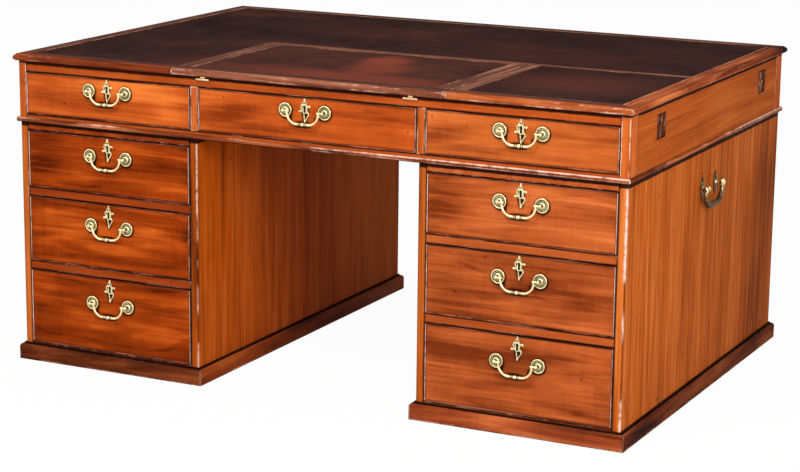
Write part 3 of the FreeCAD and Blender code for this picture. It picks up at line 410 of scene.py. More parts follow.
@dataclass(frozen=True)
class Timber:
    """A polished or plain timber whose figure follows each board's own grain.

    Attributes:
        name: The material's name.
        slot: The record's material slot; not used.
        shade: Colour of its darkest figure.
        body: Its usual colour.
        glow: Colour of its brightest figure.
        figure: Strength of the broad figure.
        figure_size: Length and width of a patch of figure in metres.
        streak: Strength of the fine streaks.
        curl: Strength of the bars across the grain.
        strokes: Dark and bright feathers of the figure that lie where they are put; on the sides some of them
            are painted shade and painted light.
        contrast: How strongly the feathers show.
        rubs_and_glints: Places whose arrises are rubbed to the worn colour, which also paints their
            highlights.
        bruises: Places that are full of small dark dents.
        worn: Colour of rubbed arrises, also the colour of the highlights painted along them.
        wear: How much of the arrises is rubbed and painted with highlights.
        wear_width: How far the rubbed and highlighted band reaches from an arris in metres.
        grime_and_gap_shade: Darkness along the edges: soiling, and the painted shade of the gaps beside them.
        grime_and_gap_shade_width: How far that darkness reaches in metres.
        rim: Width of the painted shade of the gap round the whole node's outline in metres.
        cap_shadow: Height of the painted shadow under the moulding along the node's top in metres.
        flat_from: How far in from its moulded edge its dark flat begins, in metres, or 0 for none.
        rub_and_glint_side: The side of a board whose arrises are rubbed and highlighted, as the sign of its
            third axis, or 0 for both.
        shadows_and_dirt: Painted shadows and soiling round what is fixed on the board and along its edges.
        knocks: Strength of the small dark marks.
        roughness: Its polish, low for glossy.
        gloss: Strength of its reflections.
    """

    name: str
    slot: str
    shade: Seen
    body: Seen
    glow: Seen
    figure: float = 1.0
    figure_size: tuple[float, float] = (0.34, 0.05)
    streak: float = 0.35
    curl: float = 0.15
    strokes: tuple[Stroke, ...] = ()
    contrast: float = 0.43
    rubs_and_glints: tuple[Stroke, ...] = ()
    bruises: tuple[Stroke, ...] = ()
    worn: Seen = (214, 150, 112)
    wear: float = 0.0
    wear_width: float = 0.004
    grime_and_gap_shade: float = 0.5
    grime_and_gap_shade_width: float = 0.003
    rim: float = 0.0
    cap_shadow: float = 0.0
    flat_from: float = 0.0
    rub_and_glint_side: float = 0.0
    shadows_and_dirt: tuple[Stroke, ...] = ()
    knocks: float = 0.5
    roughness: float = 0.36
    gloss: float = 0.05

    def toned(self, name: str, shade: Seen, body: Seen, glow: Seen, **changes: object) -> "Timber":
        """The same timber under another name and in other tones, with other changes if any."""
        return replace(self, name=name, shade=shade, body=body, glow=glow, **changes)

    def figured(self, cut: Cut) -> Socket:
        """Paints the figure: patches, streaks, bars and feathers.

        Each noise swings the tone about its middle, which is 0.5.

        Args:
            cut: The board's sockets.

        Returns:
            The colour.
        """
        g = cut.graph
        length, width = self.figure_size
        figure = g.grain(cut.log, (1 / length, 1 / width), 3.0, 0.5, 0.7)
        curl = g.grain(cut.log, CURL_BARS, 2.0, 0.5, 0.9)
        swings = (
            (figure, FIGURE_SWING * self.figure), (cut.streak, STREAK_SWING * self.streak), (curl, self.curl),
            (cut.patch, PATCH_SWING),
        )
        tone: Socket | float = 0.5
        for noise, swing in swings:
            tone = g.times_plus(noise, swing, g.math("SUBTRACT", tone, swing / 2))
        if self.strokes:
            inputs = {"Vector": g.stretched(cut.log, STIRRING), "Scale": 1.0, "Detail": 4.0}
            stir = g.node("ShaderNodeTexNoise", inputs).outputs["Color"]
            pull = g.vector("MULTIPLY", g.vector("SUBTRACT", stir, (0.5, 0.5, 0.5)), FEATHER_PULL)
            feathers = g.times_plus(cut.streak, 0.5, -0.25)
            feathers = brushed(g, feathers, g.vector("ADD", cut.place, pull), self.strokes)
            ribbon = g.grain(cut.log, RIBBONS, 4.0, 0.6, 0.3)
            share = g.times_plus(ribbon, 2.6 * self.contrast, -0.3 * self.contrast)
            tone = g.times_plus(feathers, share, tone)
        return g.ramp(tone, [(0.1, self.shade), (0.5, self.body), (0.92, self.glow)])

    def rubbed_and_glinting(self, cut: Cut, arris: Socket) -> Socket:
        """Finds where the arrises are rubbed and where highlights are painted along them.

        Args:
            cut: The board's sockets.
            arris: The way to the nearest arris.

        Returns:
            1 where the timber is rubbed and highlighted and 0 where it is sound.
        """
        g = cut.graph
        reach = g.math("MULTIPLY", cut.rag, 2.0 * self.wear_width)
        rub_and_glint = g.fall(arris, g.math("MULTIPLY", reach, 0.35), reach)
        here = brushed(g, g.grain(cut.log, RUB_AND_GLINT_NOISE, 3.0, 0.6), cut.place, self.rubs_and_glints)
        low, high = (edge - RUB_AND_GLINT_SPREAD * self.wear for edge in RUB_AND_GLINT_BAND)
        rub_and_glint = g.math("MULTIPLY", rub_and_glint, g.band(here, low, high), clamp=True)
        rub_and_glint = g.math("MULTIPLY", rub_and_glint, g.band(cut.rag, *RAG_BAND), clamp=True)
        if self.rub_and_glint_side:
            facing = g.math("MULTIPLY", g.parts(cut.place)[1], self.rub_and_glint_side)
            rub_and_glint = g.math("MULTIPLY", rub_and_glint, g.band(facing, 0.0, 0.003))
        return rub_and_glint

    def lined(self, cut: Cut, colour: Socket) -> Socket:
        """Paints the shade of the gap round the node and the shadow under its moulding, and darkens the flat
        behind its nose.

        Args:
            cut: The board's sockets.
            colour: The colour so far.

        Returns:
            The new colour.
        """
        g = cut.graph
        if self.rim:
            # The painted shade of the gap round the node.
            inset = g.vector(
                "SUBTRACT", g.attribute("node_half"), g.vector("ABSOLUTE", g.attribute("node_place"))
            )
            wide, _, high = g.parts(inset)
            joint = g.fall(g.math("MINIMUM", wide, high), 0.6 * self.rim, 1.3 * self.rim)
            colour = g.lay(colour, joint, 0.9, RIM_SHADE_DARK)
        if self.cap_shadow:
            # The painted shadow under the moulding along the node's top.
            drop = g.parts(g.vector("SUBTRACT", g.attribute("node_half"), g.attribute("node_place")))[2]
            drop = g.times_plus(cut.rag, 0.4 * self.cap_shadow, g.math("SUBTRACT", drop, 0.2 * self.cap_shadow))
            colour = g.lay(colour, g.fall(drop, 0.78 * self.cap_shadow, self.cap_shadow), 0.95, CAP_SHADOW_DARK)
        if self.flat_from:
            inward = g.parts(g.vector("ADD", g.attribute("board_half"), cut.place))[1]
            inward = g.times_plus(cut.rag, 0.004, g.math("SUBTRACT", inward, 0.002))
            dark = g.mix(0.75, colour, lit(FLAT_DARK))
            colour = g.mix(g.band(inward, self.flat_from, self.flat_from + 0.004), colour, dark)
        return colour

    def marked(self, cut: Cut, colour: Socket) -> Socket:
        """Adds the painted shadows and soiling, and the bruises.

        Args:
            cut: The board's sockets.
            colour: The colour so far.

        Returns:
            The new colour.
        """
        g = cut.graph
        if self.shadows_and_dirt:
            # Painted shadows and soiling round fixed brass and along the edges of mouldings.
            shadow_and_dirt = brushed(g, 0.0, cut.place, self.shadows_and_dirt)
            shadow_and_dirt = g.math("MULTIPLY", shadow_and_dirt, g.math("ADD", cut.rag, 0.45), clamp=True)
            colour = g.lay(colour, shadow_and_dirt, 0.92, SHADOW_AND_DIRT_DARK)
        if self.bruises:
            sore = brushed(g, g.noise(cut.place, *BRUISES), cut.place, self.bruises)
            colour = g.lay(colour, g.band(sore, *BRUISE_BAND), 0.85, BRUISE_DARK)
        return colour

    def material(self) -> bpy.types.Material:
        """Builds the timber from its figure, its pores, its soiling, its worn arrises, and its painted shade,
        shadows and highlights.

        Returns:
            The material.
        """
        g = ShaderGraph(bpy.data.materials.new(self.name))
        place = g.attribute("board_place")
        step = {0: LOG_STEP, "Scale": g.attribute("board_cut", "Fac")}
        log = g.vector("ADD", place, g.node("ShaderNodeVectorMath", step, operation="SCALE").outputs[0])
        streak = g.grain(log, STREAKS, 5.0, 0.65, 0.2)
        cut = Cut(g, place, log, streak, g.noise(log, *PATCHES), g.noise(log, *RAG))
        pores = g.grain(log, PORES, 2.0)
        knock = g.band(g.noise(log, *KNOCKS), *KNOCK_BAND)
        arris = cut.arris()
        # Dark along the arrises: soiling, and the painted shade of the gaps beside them.
        edge_dirt_and_gap_shade = g.fall(g.math("SUBTRACT", arris, g.math("MULTIPLY", cut.rag, 0.0012)), 0.0, self.grime_and_gap_shade_width)
        # Rubbed arrises, which also carry the highlights painted along them.
        rub_and_glint = self.rubbed_and_glinting(cut, arris)
        colour = self.figured(cut)
        colour = g.mix(g.band(pores, *PORE_BAND), colour, g.mix(0.45, colour, lit(self.shade)))
        colour = g.lay(colour, knock, self.knocks, KNOCK_DARK)
        colour = g.lay(colour, edge_dirt_and_gap_shade, self.grime_and_gap_shade, EDGE_DIRT_AND_GAP_SHADE)
        colour = g.mix(rub_and_glint, colour, lit(self.worn))
        colour = self.marked(cut, self.lined(cut, colour))
        sheen = g.times_plus(rub_and_glint, 0.2, g.times_plus(cut.patch, 0.16, self.roughness - 0.08))
        height = g.times_plus(pores, -0.5, g.times_plus(cut.streak, 0.4, cut.patch))
        return g.finish(
            {
                "Base Color": colour,
                "Roughness": sheen,
                "Specular IOR Level": 0.0,
                "Coat Weight": self.gloss,
                "Coat Roughness": 0.22,
                "Normal": g.bump(height, 0.25, 0.0006),
            }
        )


@dataclass(frozen=True)
class Hide:
    """Old writing leather, dark where it is sound and red where it is rubbed.

    Attributes:
        name: The material's name.
        sound: Its usual colour.
        deep: Its darkest colour.
        rubbed: Its colour where it is worn.
        patches: Worn places as centre x, centre y, half length x, half width y, strength.
        roughness: Its dullness.
    """

    name: str
    sound: Seen
    deep: Seen
    rubbed: Seen
    patches: tuple[tuple[float, float, float, float, float], ...] = ()
    roughness: float = 0.62

    def material(self) -> bpy.types.Material:
        """Builds the leather, whose rubbed places are ragged ellipses on the top.

        Returns:
            The material.
        """
        g = ShaderGraph(bpy.data.materials.new(self.name))
        place = g.node("ShaderNodeTexCoord").outputs["Object"]
        cloud = g.noise(place, 4.0, 5.0, 0.62, 0.5)
        fine = g.noise(place, 38.0, 5.0, 0.7, 0.3)
        tone = g.times_plus(fine, 0.7, g.times_plus(cloud, 1.3, -0.5), clamp=True)
        colour = g.ramp(tone, [(0.2, self.deep), (0.62, self.sound), (1.0, self.rubbed)])
        for x, y, along, across, strength in self.patches:
            spot = g.vector(
                "MULTIPLY", g.vector("SUBTRACT", place, (x, y, 0.0)), (1 / along, 1 / across, 0.0)
            )
            away = g.node("ShaderNodeVectorMath", {0: spot}, operation="LENGTH").outputs["Value"]
            ragged = g.times_plus(g.math("SUBTRACT", fine, 0.5), 1.1, away)
            worn = g.fall(g.times_plus(cloud, 0.8, ragged), 0.75, 1.6)
            colour = g.lay(colour, worn, strength, self.rubbed)
        scratch = g.noise(g.vector("MULTIPLY", place, (7.0, 260.0, 1.0)), 1.0, 2.0, 0.4, 1.6)
        colour = g.lay(colour, g.band(scratch, 0.70, 0.76), 0.35, SCRATCH_PALE)
        cells = g.node(
            "ShaderNodeTexVoronoi", {"Vector": place, "Scale": 620.0}, feature="DISTANCE_TO_EDGE"
        ).outputs[0]
        height = g.times_plus(g.band(cells, 0.0, 0.25), 0.6, g.math("MULTIPLY", fine, 0.8))
        return g.finish(
            {
                "Base Color": colour,
                "Roughness": g.times_plus(fine, 0.2, self.roughness - 0.1),
                "Specular IOR Level": 0.0,
                "Coat Weight": 0.02,
                "Coat Roughness": 0.4,
                "Normal": g.bump(height, 0.3, 0.0004),
            }
        )


@dataclass(frozen=True)
class Metal:
    """Old brass or iron, bright on its high places and dark in its hollows.

    Attributes:
        name: The material's name.
        bright: Colour where it is rubbed.
        dull: Colour in its hollows.
        roughness: Its polish.
        has_hollows: Whether its pieces carry the hollow attribute.
        metallic: 1 for metal, 0 for the dark plate that paints the shade inside a keyhole.
        slot: The record's material slot; not used.
    """

    name: str
    bright: Seen
    dull: Seen
    roughness: float = 0.28
    has_hollows: bool = True
    metallic: float = 1.0
    slot: str = "brass"

    def material(self) -> bpy.types.Material:
        """Builds the metal.

        Returns:
            The material.
        """
        g = ShaderGraph(bpy.data.materials.new(self.name))
        place = g.node("ShaderNodeTexCoord").outputs["Object"]
        mottle = g.noise(place, 240.0, 4.0, 0.6)
        cloud = g.noise(place, 35.0)
        depth = g.attribute("hollow", "Fac") if self.has_hollows else g.math("MULTIPLY", cloud, 0.3)
        tarnish = g.times_plus(mottle, 1.1, g.times_plus(cloud, 0.5, -0.72))
        share = g.math("ADD", depth, tarnish, clamp=True)
        return g.finish(
            {
                "Base Color": g.mix(share, lit(self.bright), lit(self.dull)),
                "Metallic": self.metallic,
                "Roughness": g.times_plus(share, 0.25, self.roughness),
                "Normal": g.bump(mottle, 0.2, 0.0002),
            }
        )


# The fronts of the drawers, and the figure of each one.
FRIEZE_DRAWER = Timber(
    "frieze_front_mahogany", "frieze_mahogany", (128, 48, 12), (184, 80, 26), (226, 118, 48), figure=0.7
)
RIGHT_FRIEZE = FRIEZE_DRAWER.toned("right_frieze_mahogany", (132, 56, 20), (186, 92, 38), (222, 122, 62))
LEFT_DRAWER = Timber(
    "left_front_mahogany", "pedestal_mahogany", (88, 26, 2), (150, 56, 8), (204, 92, 26), figure=0.8
)
RIGHT_DRAWER = Timber(
    "right_front_mahogany", "pedestal_mahogany", (112, 44, 14), (172, 82, 36), (216, 116, 60), figure=0.7
)
EVERY_FRONT = strokes((-200, 0, 170, 160, 0, -0.5), (-40, 0, 160, 120, 0, -0.12), (215, 0, 60, 160, 0, -0.15))
DRAWER_FIGURES: dict[str, tuple[Stroke, ...]] = {
    "left_upper": strokes(
        (0, 0, 420, 260, 0, -0.2), (-200, 0, 150, 160, 0, -0.4), (-195, 30, 70, 60, 0, -0.1),
        (-110, 52, 90, 18, 6, 0.5), (-60, 30, 60, 16, 8, 0.35), (-80, -28, 110, 18, -12, 0.3),
        (-30, -50, 150, 10, 6, -0.5), (150, 40, 90, 34, 2, -0.45), (165, 15, 60, 10, 4, -0.25),
        (160, -44, 90, 14, 10, 0.5), (60, 50, 50, 14, 4, 0.2), (-200, -30, 60, 20, 6, -0.25),
        (215, -20, 24, 60, 0, -0.3),
    ),
    "left_middle": strokes(
        (0, 0, 420, 260, 0, 0.6), (-170, 52, 90, 16, -6, 0.5), (-60, 62, 100, 10, -8, -0.45),
        (-45, 34, 70, 12, -6, -0.35), (140, 38, 100, 28, 6, 0.6), (120, -8, 110, 20, 8, 0.45),
        (-200, -16, 60, 24, 4, -0.35), (-120, -10, 70, 24, 4, 0.3), (20, -22, 90, 12, 4, 0.35),
        (-110, -58, 150, 18, 3, -0.35), (170, -56, 80, 16, 10, -0.4), (222, 10, 16, 80, 0, -0.5),
        (60, -50, 60, 14, 8, 0.2),
    ),
    "left_lower": strokes(
        (-110, 78, 220, 14, -3, -0.7), (160, 78, 100, 12, 3, -0.4), (-160, 50, 90, 16, -3, 0.6),
        (60, 56, 120, 14, 3, 0.5), (-200, 18, 50, 18, -4, 0.4), (-90, 14, 120, 20, -12, -0.5),
        (20, -16, 90, 16, -4, -0.35), (-60, -30, 90, 14, 0, 0.25), (150, 10, 90, 18, 6, -0.25),
        (190, -42, 80, 12, 18, 0.6), (150, -66, 120, 9, 14, -0.55), (-120, -64, 150, 18, 3, 0.1),
        (-215, -40, 24, 60, 0, -0.3), (60, -44, 60, 12, 6, 0.25),
    ),
    "right_upper": strokes(
        (-210, 0, 130, 200, 0, -0.6), (-140, 56, 110, 10, 3, 0.5), (-160, 26, 110, 13, 2, -0.6),
        (-60, 34, 90, 8, 6, -0.3), (130, 52, 110, 9, 8, -0.55), (160, 60, 80, 8, 8, 0.3),
        (140, 8, 100, 18, 4, 0.4), (60, -30, 160, 18, 0, -0.1), (-130, -36, 120, 20, 0, -0.05),
        (-60, -2, 110, 9, 3, 0.35), (200, -26, 40, 30, 0, 0.2),
    ),
    "right_middle": strokes(
        (0, 0, 420, 260, 0, -0.7), (-120, 40, 60, 9, -18, -0.45), (-70, 22, 70, 8, -14, -0.4),
        (-150, 0, 90, 18, -4, -0.25), (-30, -34, 130, 12, 10, 0.4), (-100, -50, 90, 9, 8, -0.3),
        (120, -30, 110, 14, 2, -0.25), (150, 50, 100, 16, 2, 0.3), (-190, 58, 60, 14, 0, 0.25),
        (160, -58, 90, 12, 4, 0.25),
    ),
    "right_lower": strokes(
        (0, 0, 420, 260, 0, -0.55), (150, 68, 110, 9, -4, -0.6), (140, 44, 120, 18, 3, 0.5),
        (60, 60, 70, 14, 6, 0.3), (-60, 60, 60, 20, 10, 0.3), (150, -68, 70, 20, 0, -0.5),
        (-170, 0, 70, 60, 0, 0.15), (-130, 40, 90, 20, -4, -0.2), (30, -50, 90, 20, 14, 0.25),
        (-80, -66, 110, 16, 4, -0.2), (205, 0, 24, 60, 0, -0.2),
    ),
    "front_left_frieze": strokes(
        (60, 0, 320, 200, 0, 0.7), (-180, 10, 90, 30, 0, -0.25), (60, 34, 130, 10, 3, 0.3),
        (-60, -20, 90, 14, 4, -0.2), (160, 0, 80, 40, 0, 0.35),
    ),
    "front_centre_frieze": strokes(
        (-200, 0, 220, 180, 0, -0.45), (-200, 10, 110, 40, 0, -0.05), (-60, 32, 120, 12, 3, -0.3),
        (60, 10, 90, 20, 4, 0.1), (160, 30, 110, 12, 6, -0.35), (200, -10, 90, 20, 6, -0.2),
        (0, -30, 200, 14, 2, -0.3),
    ),
    "front_right_frieze": strokes(
        (-220, 0, 160, 160, 0, -0.2), (-60, 30, 110, 12, 4, -0.3), (130, 10, 120, 30, 3, 0.2),
        (60, -30, 110, 12, 6, 0.2),
    ),
}
# The timber of the drawers' fronts, by what their names begin with, where it isn't FRIEZE_DRAWER.
FACES = {"left": LEFT_DRAWER, "right": RIGHT_DRAWER, "front_right": RIGHT_FRIEZE}

# The frieze, the pedestals' blades and the beads.
RAIL = Timber(
    "rail_mahogany", "frieze_mahogany", (112, 42, 12), (168, 72, 24), (206, 106, 46), figure=0.5, wear=0.2,
    wear_width=0.002, grime_and_gap_shade=0.9, cap_shadow=0.0095,
)
POST = Timber(
    "post_mahogany", "frieze_mahogany", (130, 50, 14), (186, 86, 32), (224, 128, 64), figure=0.6, wear=0.7,
    wear_width=0.003, grime_and_gap_shade=0.8, worn=(232, 178, 142), cap_shadow=0.006,
)
BLADE = Timber(
    "blade_mahogany", "pedestal_mahogany", (116, 44, 14), (168, 78, 32), (210, 116, 66), figure=0.45,
    curl=0.05, wear=0.4, worn=(206, 140, 116), wear_width=0.002, grime_and_gap_shade=0.95, cap_shadow=0.009,
)
LEFT_BLADE = BLADE.toned("left_blade_mahogany", (84, 26, 6), (138, 52, 14), (184, 82, 30))
# On the beads the worn colour also paints the glint along their crests, and the rim paints the shade of the
# gap round the drawer.
BEAD = Timber(
    "bead_mahogany", "pedestal_mahogany", (50, 20, 11), (104, 50, 30), (178, 110, 84), figure=1.3, wear=0.45,
    worn=(190, 108, 74), wear_width=0.0016, grime_and_gap_shade=0.4, grime_and_gap_shade_width=0.0008, rim=0.0016,
)
UPRIGHT_BEAD = BEAD.toned(
    "upright_bead_mahogany", (50, 20, 11), (126, 70, 50), (206, 154, 134), worn=(228, 186, 170), wear=0.75
)

# The borders and noses of the top.
BORDER = Timber(
    "border_mahogany", "border_mahogany", (96, 34, 12), (150, 68, 30), (206, 116, 64), wear=0.7,
    figure_size=(0.3, 0.02)
)
# RIGHT_BORDER is darker towards its rear end.
RIGHT_BORDER = replace(
    BORDER, name="right_border_mahogany", shadows_and_dirt=strokes((556, 0, 90, 90, 0, 2.2)),
    strokes=strokes((520, 0, 190, 300, 0, -1.2), (-300, 0, 300, 60, 0, 0.2))
)
DARK_BORDER = BORDER.toned("dark_border_mahogany", (58, 26, 16), (92, 48, 32), (140, 84, 60))
# On the noses the worn colour also paints the highlight along the shoulder: strongest on NOSE, weaker on
# SLOPE_NOSE and weakest on LEFT_NOSE.
NOSE = BORDER.toned(
    "nose_mahogany", (104, 40, 16), (160, 76, 34), (206, 116, 64), worn=(226, 176, 152), wear=0.5,
    wear_width=0.0056, flat_from=0.009,
)
LEFT_NOSE = NOSE.toned(
    "left_nose_mahogany", (84, 30, 12), (132, 56, 26), (180, 92, 50), wear=0.35, worn=(196, 128, 100)
)
SLOPE_NOSE = NOSE.toned(
    "slope_nose_mahogany", (70, 34, 22), (116, 62, 42), (160, 96, 70), wear=0.45, worn=(214, 156, 132)
)
STRIP = BORDER.toned("strip_mahogany", (84, 44, 32), (124, 72, 52), (168, 112, 88), wear=0.3)
SLOPE_EDGE = replace(STRIP, name="slope_edge_mahogany", body=(108, 60, 44), wear=0.5)

# The sides, the end boards with their let-in blocks, the mouldings and the inside.
SIDE = Timber(
    "side_mahogany", "side_mahogany", (118, 52, 12), (176, 84, 24), (210, 118, 54), figure=0.45,
    figure_size=(0.9, 0.045), streak=0.95, curl=0.05, worn=(226, 188, 170), wear=0.1, wear_width=0.006,
    rub_and_glint_side=1.0, cap_shadow=0.013, grime_and_gap_shade=0.8, knocks=0.7,
    # Two broad dark strokes at the rear, across 430 and 480, are painted shade falling off towards the back.
    strokes=strokes(
        (-150, -330, 260, 120, 0, 0.22), (-180, 430, 420, 260, 0, -0.8), (150, 480, 320, 260, 0, -0.9),
        (-120, 60, 210, 16, 4, -0.35), (-150, 30, 190, 9, 7, 0.35), (-130, 95, 200, 10, -4, -0.3),
        (-120, 120, 160, 12, -5, 0.2), (-170, -168, 130, 5, 0, -0.9), (60, -166, 50, 4, 0, -0.9),
        (-120, -300, 130, 4, 1, -0.5), (40, -255, 160, 5, 0, -0.3), (180, -150, 120, 60, 0, 0.15),
        (160, 330, 150, 40, 0, 0.12), (-100, 230, 120, 24, 4, -0.2), (0, -420, 260, 12, 0, 0.3),
    ),
    rubs_and_glints=strokes((200, -545, 200, 30, 0, 0.8), (-60, -545, 260, 30, 0, 0.28), (-250, -545, 110, 30, 0, 0.4)),
    bruises=strokes(
        (-200, -520, 130, 34, 0, 0.32), (-60, -530, 120, 16, 0, 0.2), (-240, 60, 60, 60, 0, 0.16)
    ),
)
PLAIN_SIDE = replace(SIDE, name="plain_side_mahogany", rubs_and_glints=())
KNEEHOLE_SIDE = SIDE.toned(
    "kneehole_side_mahogany", (98, 40, 6), (172, 76, 14), (208, 108, 40), streak=0.6, worn=(206, 162, 138),
    wear_width=0.0045,
    # The broad bright stroke at the rear, across 320, is painted light where the kneehole lies in shade.
    strokes=strokes(
        (0, -430, 400, 14, 0, -0.5), (0, -180, 400, 20, 0, -0.45), (-60, -120, 260, 10, 1, -0.3),
        (0, 10, 300, 16, 0, -0.35), (0, -545, 600, 10, 0, -0.7), (0, -320, 300, 50, 0, 0.25),
        (0, -60, 300, 30, 0, 0.15), (0, 320, 700, 420, 0, 1.3), (-260, -300, 60, 260, 0, -0.35),
        (0, 545, 400, 40, 0, -0.3),
    ),
    bruises=strokes((-60, 10, 230, 24, 0, 0.3), (-200, -480, 120, 40, 0, 0.22), (150, -200, 60, 60, 0, 0.14)),
)
END_BOARD = Timber(
    "end_board_mahogany", "side_mahogany", (116, 50, 14), (174, 82, 26), (208, 116, 54), figure=0.4,
    figure_size=(0.5, 0.03), streak=0.45, wear=0.2, knocks=0.9, cap_shadow=0.010,
    strokes=strokes(
        (-250, 5, 160, 30, 0, 0.15), (-240, -4, 120, 5, 2, -0.7), (-80, 20, 180, 6, -2, -0.3),
        (300, 0, 260, 60, 0, -0.35), (60, -20, 160, 8, 0, 0.2), (-420, 0, 60, 40, 0, 0.25),
    ),
)
PATCH = Timber(
    "let_in_mahogany", "side_mahogany", (44, 16, 8), (96, 42, 19), (206, 150, 116), figure=0.9,
    figure_size=(0.03, 0.012),
    streak=0.3, grime_and_gap_shade=0.9, grime_and_gap_shade_width=0.006, contrast=1.0, strokes=strokes((4, 0, 6, 5, 0, 2.4)),
)
# The waist's rubs paint a highlight along the right part of its edge, and its stains paint the shadow along
# its lower edge.
WAIST = Timber(
    "waist_mahogany", "border_mahogany", (74, 26, 10), (128, 58, 28), (186, 106, 64), figure_size=(0.3, 0.02),
    worn=(226, 180, 158), wear=0.24, wear_width=0.0042, grime_and_gap_shade=0.3, grime_and_gap_shade_width=0.002,
    rubs_and_glints=strokes((560, 0, 600, 60, 0, 1.0)),
    shadows_and_dirt=strokes((0, -5.5, 5000, 3.8, 0, 3.5)),
)
PLINTH = Timber(
    "plinth_mahogany", "pedestal_mahogany", (38, 14, 6), (92, 38, 15), (150, 76, 36), worn=(158, 112, 92),
    wear=0.55, wear_width=0.005, grime_and_gap_shade=0.6, grime_and_gap_shade_width=0.004, cap_shadow=0.0045,
)
RIGHT_PLINTH = PLINTH.toned("right_plinth_mahogany", (88, 36, 16), (148, 66, 32), (196, 104, 56))
INNER_PLINTH = PLINTH.toned("inner_plinth_mahogany", (60, 24, 8), (122, 52, 18), (168, 84, 34))
PANEL = Timber("panel_mahogany", "pedestal_mahogany", (92, 32, 6), (160, 68, 18), (208, 104, 40), figure=1.1)
LINING = Timber(
    "oak_lining", "oak_lining", (140, 108, 70), (184, 150, 104), (208, 178, 132), figure=0.5, streak=0.9,
    grime_and_gap_shade=0.25, roughness=0.6, gloss=0.05
)

# The leather and the metals.
LEATHER = Hide(
    "top_leather", (64, 40, 36), (42, 27, 26), (104, 54, 44),
    (
        (0.58, -0.30, 0.22, 0.16, 0.45), (-0.35, -0.45, 0.12, 0.14, 0.25), (0.35, 0.1, 0.22, 0.16, 0.2),
        (-0.2, 0.25, 0.25, 0.14, 0.15),
    ),
)
SLOPE_LEATHER = Hide(
    "slope_leather", (86, 50, 42), (56, 34, 30), (136, 66, 50),
    (
        (0.04, -0.21, 0.07, 0.09, 1.0), (0.08, -0.32, 0.09, 0.1, 0.7), (0.12, -0.48, 0.24, 0.09, 0.6),
        (-0.1, -0.46, 0.2, 0.08, 0.35)
    ),
)
BRASS = Metal("old_brass", (255, 238, 184), (74, 66, 30), roughness=0.3)
HANDLE_BRASS = Metal("carrying_brass", (252, 226, 168), (78, 54, 20), roughness=0.24)
HINGE_BRASS = Metal("hinge_brass", (244, 204, 158), (128, 90, 56), roughness=0.35, has_hollows=False)
IRON = Metal("lock_iron", (92, 88, 82), (44, 38, 34), roughness=0.5, has_hollows=False)
# A dark plate that paints the shade inside each keyhole.
KEYHOLE_SHADE = Metal("keyhole_dark", (14, 9, 7), (6, 4, 4), roughness=0.9, has_hollows=False, metallic=0.0)

_made: dict[str, bpy.types.Material] = {}


def coat(finish: Timber | Hide | Metal) -> bpy.types.Material:
    """Returns a finish's material, built the first time it is asked for."""
    if finish.name not in _made:
        _made[finish.name] = finish.material()
    return _made[finish.name]


# ------------------------------------------------------------------ meshes


def place_piece(
    piece: bpy.types.Object, body: str, nodes: tuple[str, ...] = ()
) -> bpy.types.Object:
    """Puts a finished piece on its body.

    Args:
        piece: The piece, at the origin with its place in its mesh.
        body: The body it moves with.
        nodes: The frame's nodes that it stands for.

    Returns:
        The piece.
    """
    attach(piece, body)
    if nodes:
        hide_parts(*nodes)
    LOG.info("%s rides on %s", piece.name, body)
    return piece


def linked(name: str, mesh: bpy.types.Mesh, materials: list[bpy.types.Material]) -> bpy.types.Object:
    """Links a mesh to the scene as a new object.

    Args:
        name: The object's name.
        mesh: Its mesh.
        materials: Its materials, in the order of the mesh's numbers.

    Returns:
        The object.
    """
    for material in materials:
        mesh.materials.append(material)
    piece = bpy.data.objects.new(name, mesh)
    bpy.context.scene.collection.objects.link(piece)
    return piece


